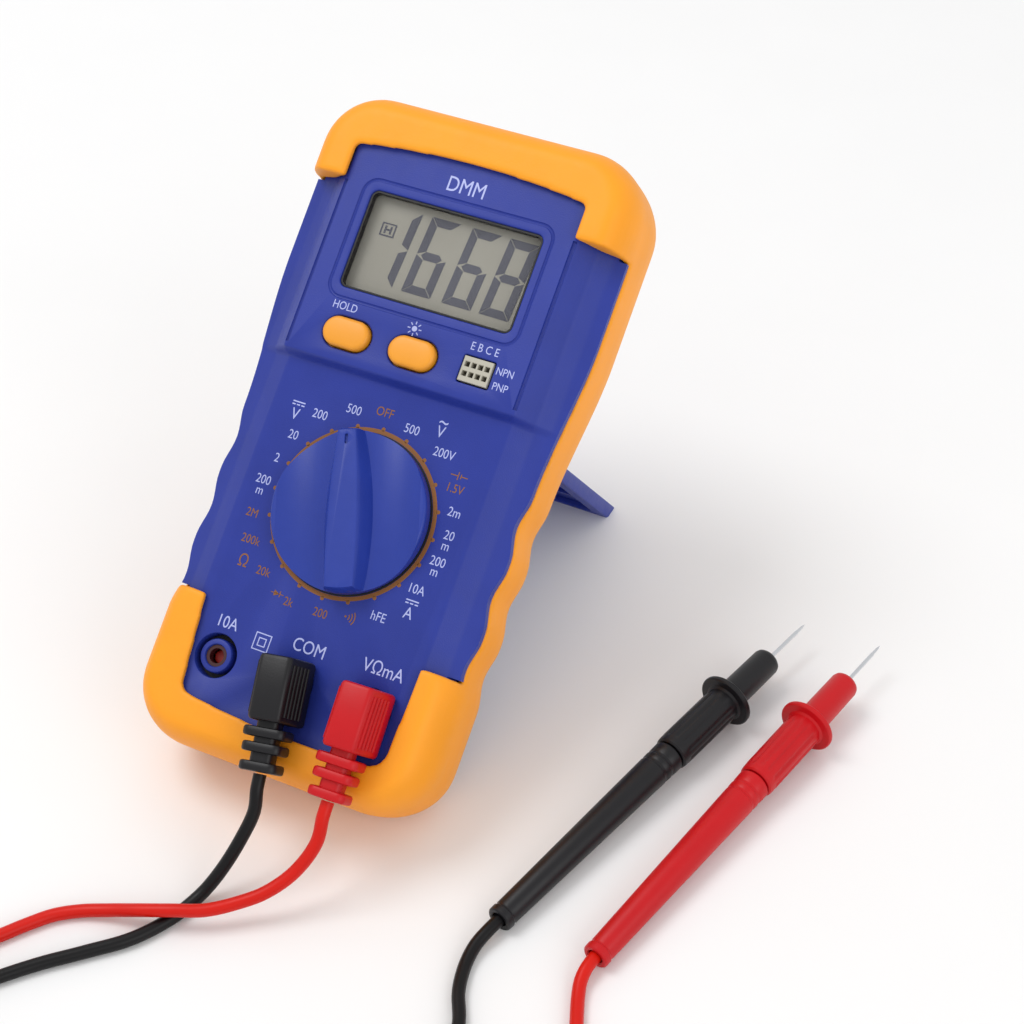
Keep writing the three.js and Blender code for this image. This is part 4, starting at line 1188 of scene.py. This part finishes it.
def sound(x, y):
    """Three arcs and a dot, for the continuity buzzer."""
    line, start = 0.22, x - 1
    angles = [math.radians(a) for a in range(-38, 39, 19)]

    def arc(radius):
        return [(start + radius * math.cos(a), y + radius * math.sin(a)) for a in angles]

    arcs = [flat([*arc(radius), *reversed(arc(radius - line))]) for radius in (0.9, 1.5, 2.1)]
    return [flat(circle(line, start, y, 4)()), *arcs]


def pale_print():
    words = [word(*entry, 0) for entry in PALE] + [word(*entry, PANEL_Z) for entry in PALE_ON_PANEL]
    marks = [*direct_mark(-18.9, 17.3), *direct_mark(17.8, -12.5), *double_square(-8.7, -29.3, 3.5)]
    return joined_loose([*words, *marks, *sun(-0.1, 37.7)])


def brown_print():
    ring = flat_ring(16.35, 17.2, -PRINT_THICK, PRINT_THICK, sides=128)
    words = [word(*entry, 0) for entry in BROWN]
    marks = [*diode(-9.2, -19.4), *sound(6.9, -19.2), *battery_mark(18.1, 13.2)]
    return joined_loose([ring, *stop_dots(17.4), *words, *marks])


finished(pale_print(), "pale_markings", FACE, PALE_PRINT, "meter", "white_plastic")
finished(brown_print(), "brown_markings", FACE, BROWN_PRINT, "meter", "white_plastic")

# ---------------- CAD pieces that stay

LOOKS = {
    "orange_rubber": RUBBER, "blue_plastic": BLUE, "knob_plastic": KNOB, "button_plastic": BUTTON,
    "black_plastic": BLACK, "red_plastic": RED, "black_cord": BLACK_CORD, "red_cord": RED_CORD,
    "grey_plastic": GREY, "white_plastic": WHITE, "carbon_rubber": CARBON, "circuit_board": BOARD,
    "brass": BRASS, "steel": STEEL, "needle_steel": NEEDLE, "battery_jacket": JACKET, "fuse_glass": FUSE,
    "lcd_glass": LCD, "window_plastic": WINDOW,
}
SHARP_NODES = {"hfe_socket": 0.12, "lcd_frame": 0.2}  # bevel in mm


def dress(node, slot):
    """Gives a CAD piece its material and, where it is seen, slightly rounded edges."""
    node.data.materials.clear()
    node.data.materials.append(LOOKS[slot])
    if node.name in SHARP_NODES:
        weld = node.modifiers.new("weld", "WELD")
        weld.merge_threshold = 0.01 * MM
        bevel(node, SHARP_NODES[node.name] * MM, 40)


for subpart in frame["record"]["subparts"]:
    dress(frame["nodes"][subpart["node"]], subpart["material_slot"])

# ---------------- floor and light


def floor():
    """A pale floor, wide enough to fill every view."""
    half = 3000
    plane = solid([(-half, -half, 0), (half, -half, 0), (half, half, 0), (-half, half, 0)], [(0, 1, 2, 3)])
    plane.name = "floor"
    plane.data.transform(FLAT)
    plane.data.materials.append(FLOOR)
    plane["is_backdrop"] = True


def soft_light(name, place, aim, size, watts):
    light = linked(name, bpy.data.lights.new(name, "AREA"))
    light.data.shape = "DISK"
    light.data.size = size
    light.data.energy = watts
    light.location = place
    light.rotation_mode = "QUATERNION"
    light.rotation_quaternion = (Vector(aim) - Vector(place)).to_track_quat("-Z", "Y")


def studio():
    """White light from all round, a soft key light over the left shoulder and a weaker fill."""
    world = bpy.data.worlds.new("studio")
    world.use_nodes = True
    background = world.node_tree.nodes["Background"]
    background.inputs["Color"].default_value = (1, 1, 1, 1)
    background.inputs["Strength"].default_value = 0.8
    bpy.context.scene.world = world
    middle = (0.02, 0, 0.04)
    soft_light("key", (-0.5, -0.15, 1.1), middle, size=0.6, watts=5)
    soft_light("fill", (1.0, -0.5, 0.6), middle, size=0.8, watts=3)
    bpy.context.scene.view_settings.view_transform = "Standard"


floor()
studio()

boxes = {"cad": cad_box, "visual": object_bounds()}
{name: [list(corner) for corner in box] for name, box in boxes.items()}
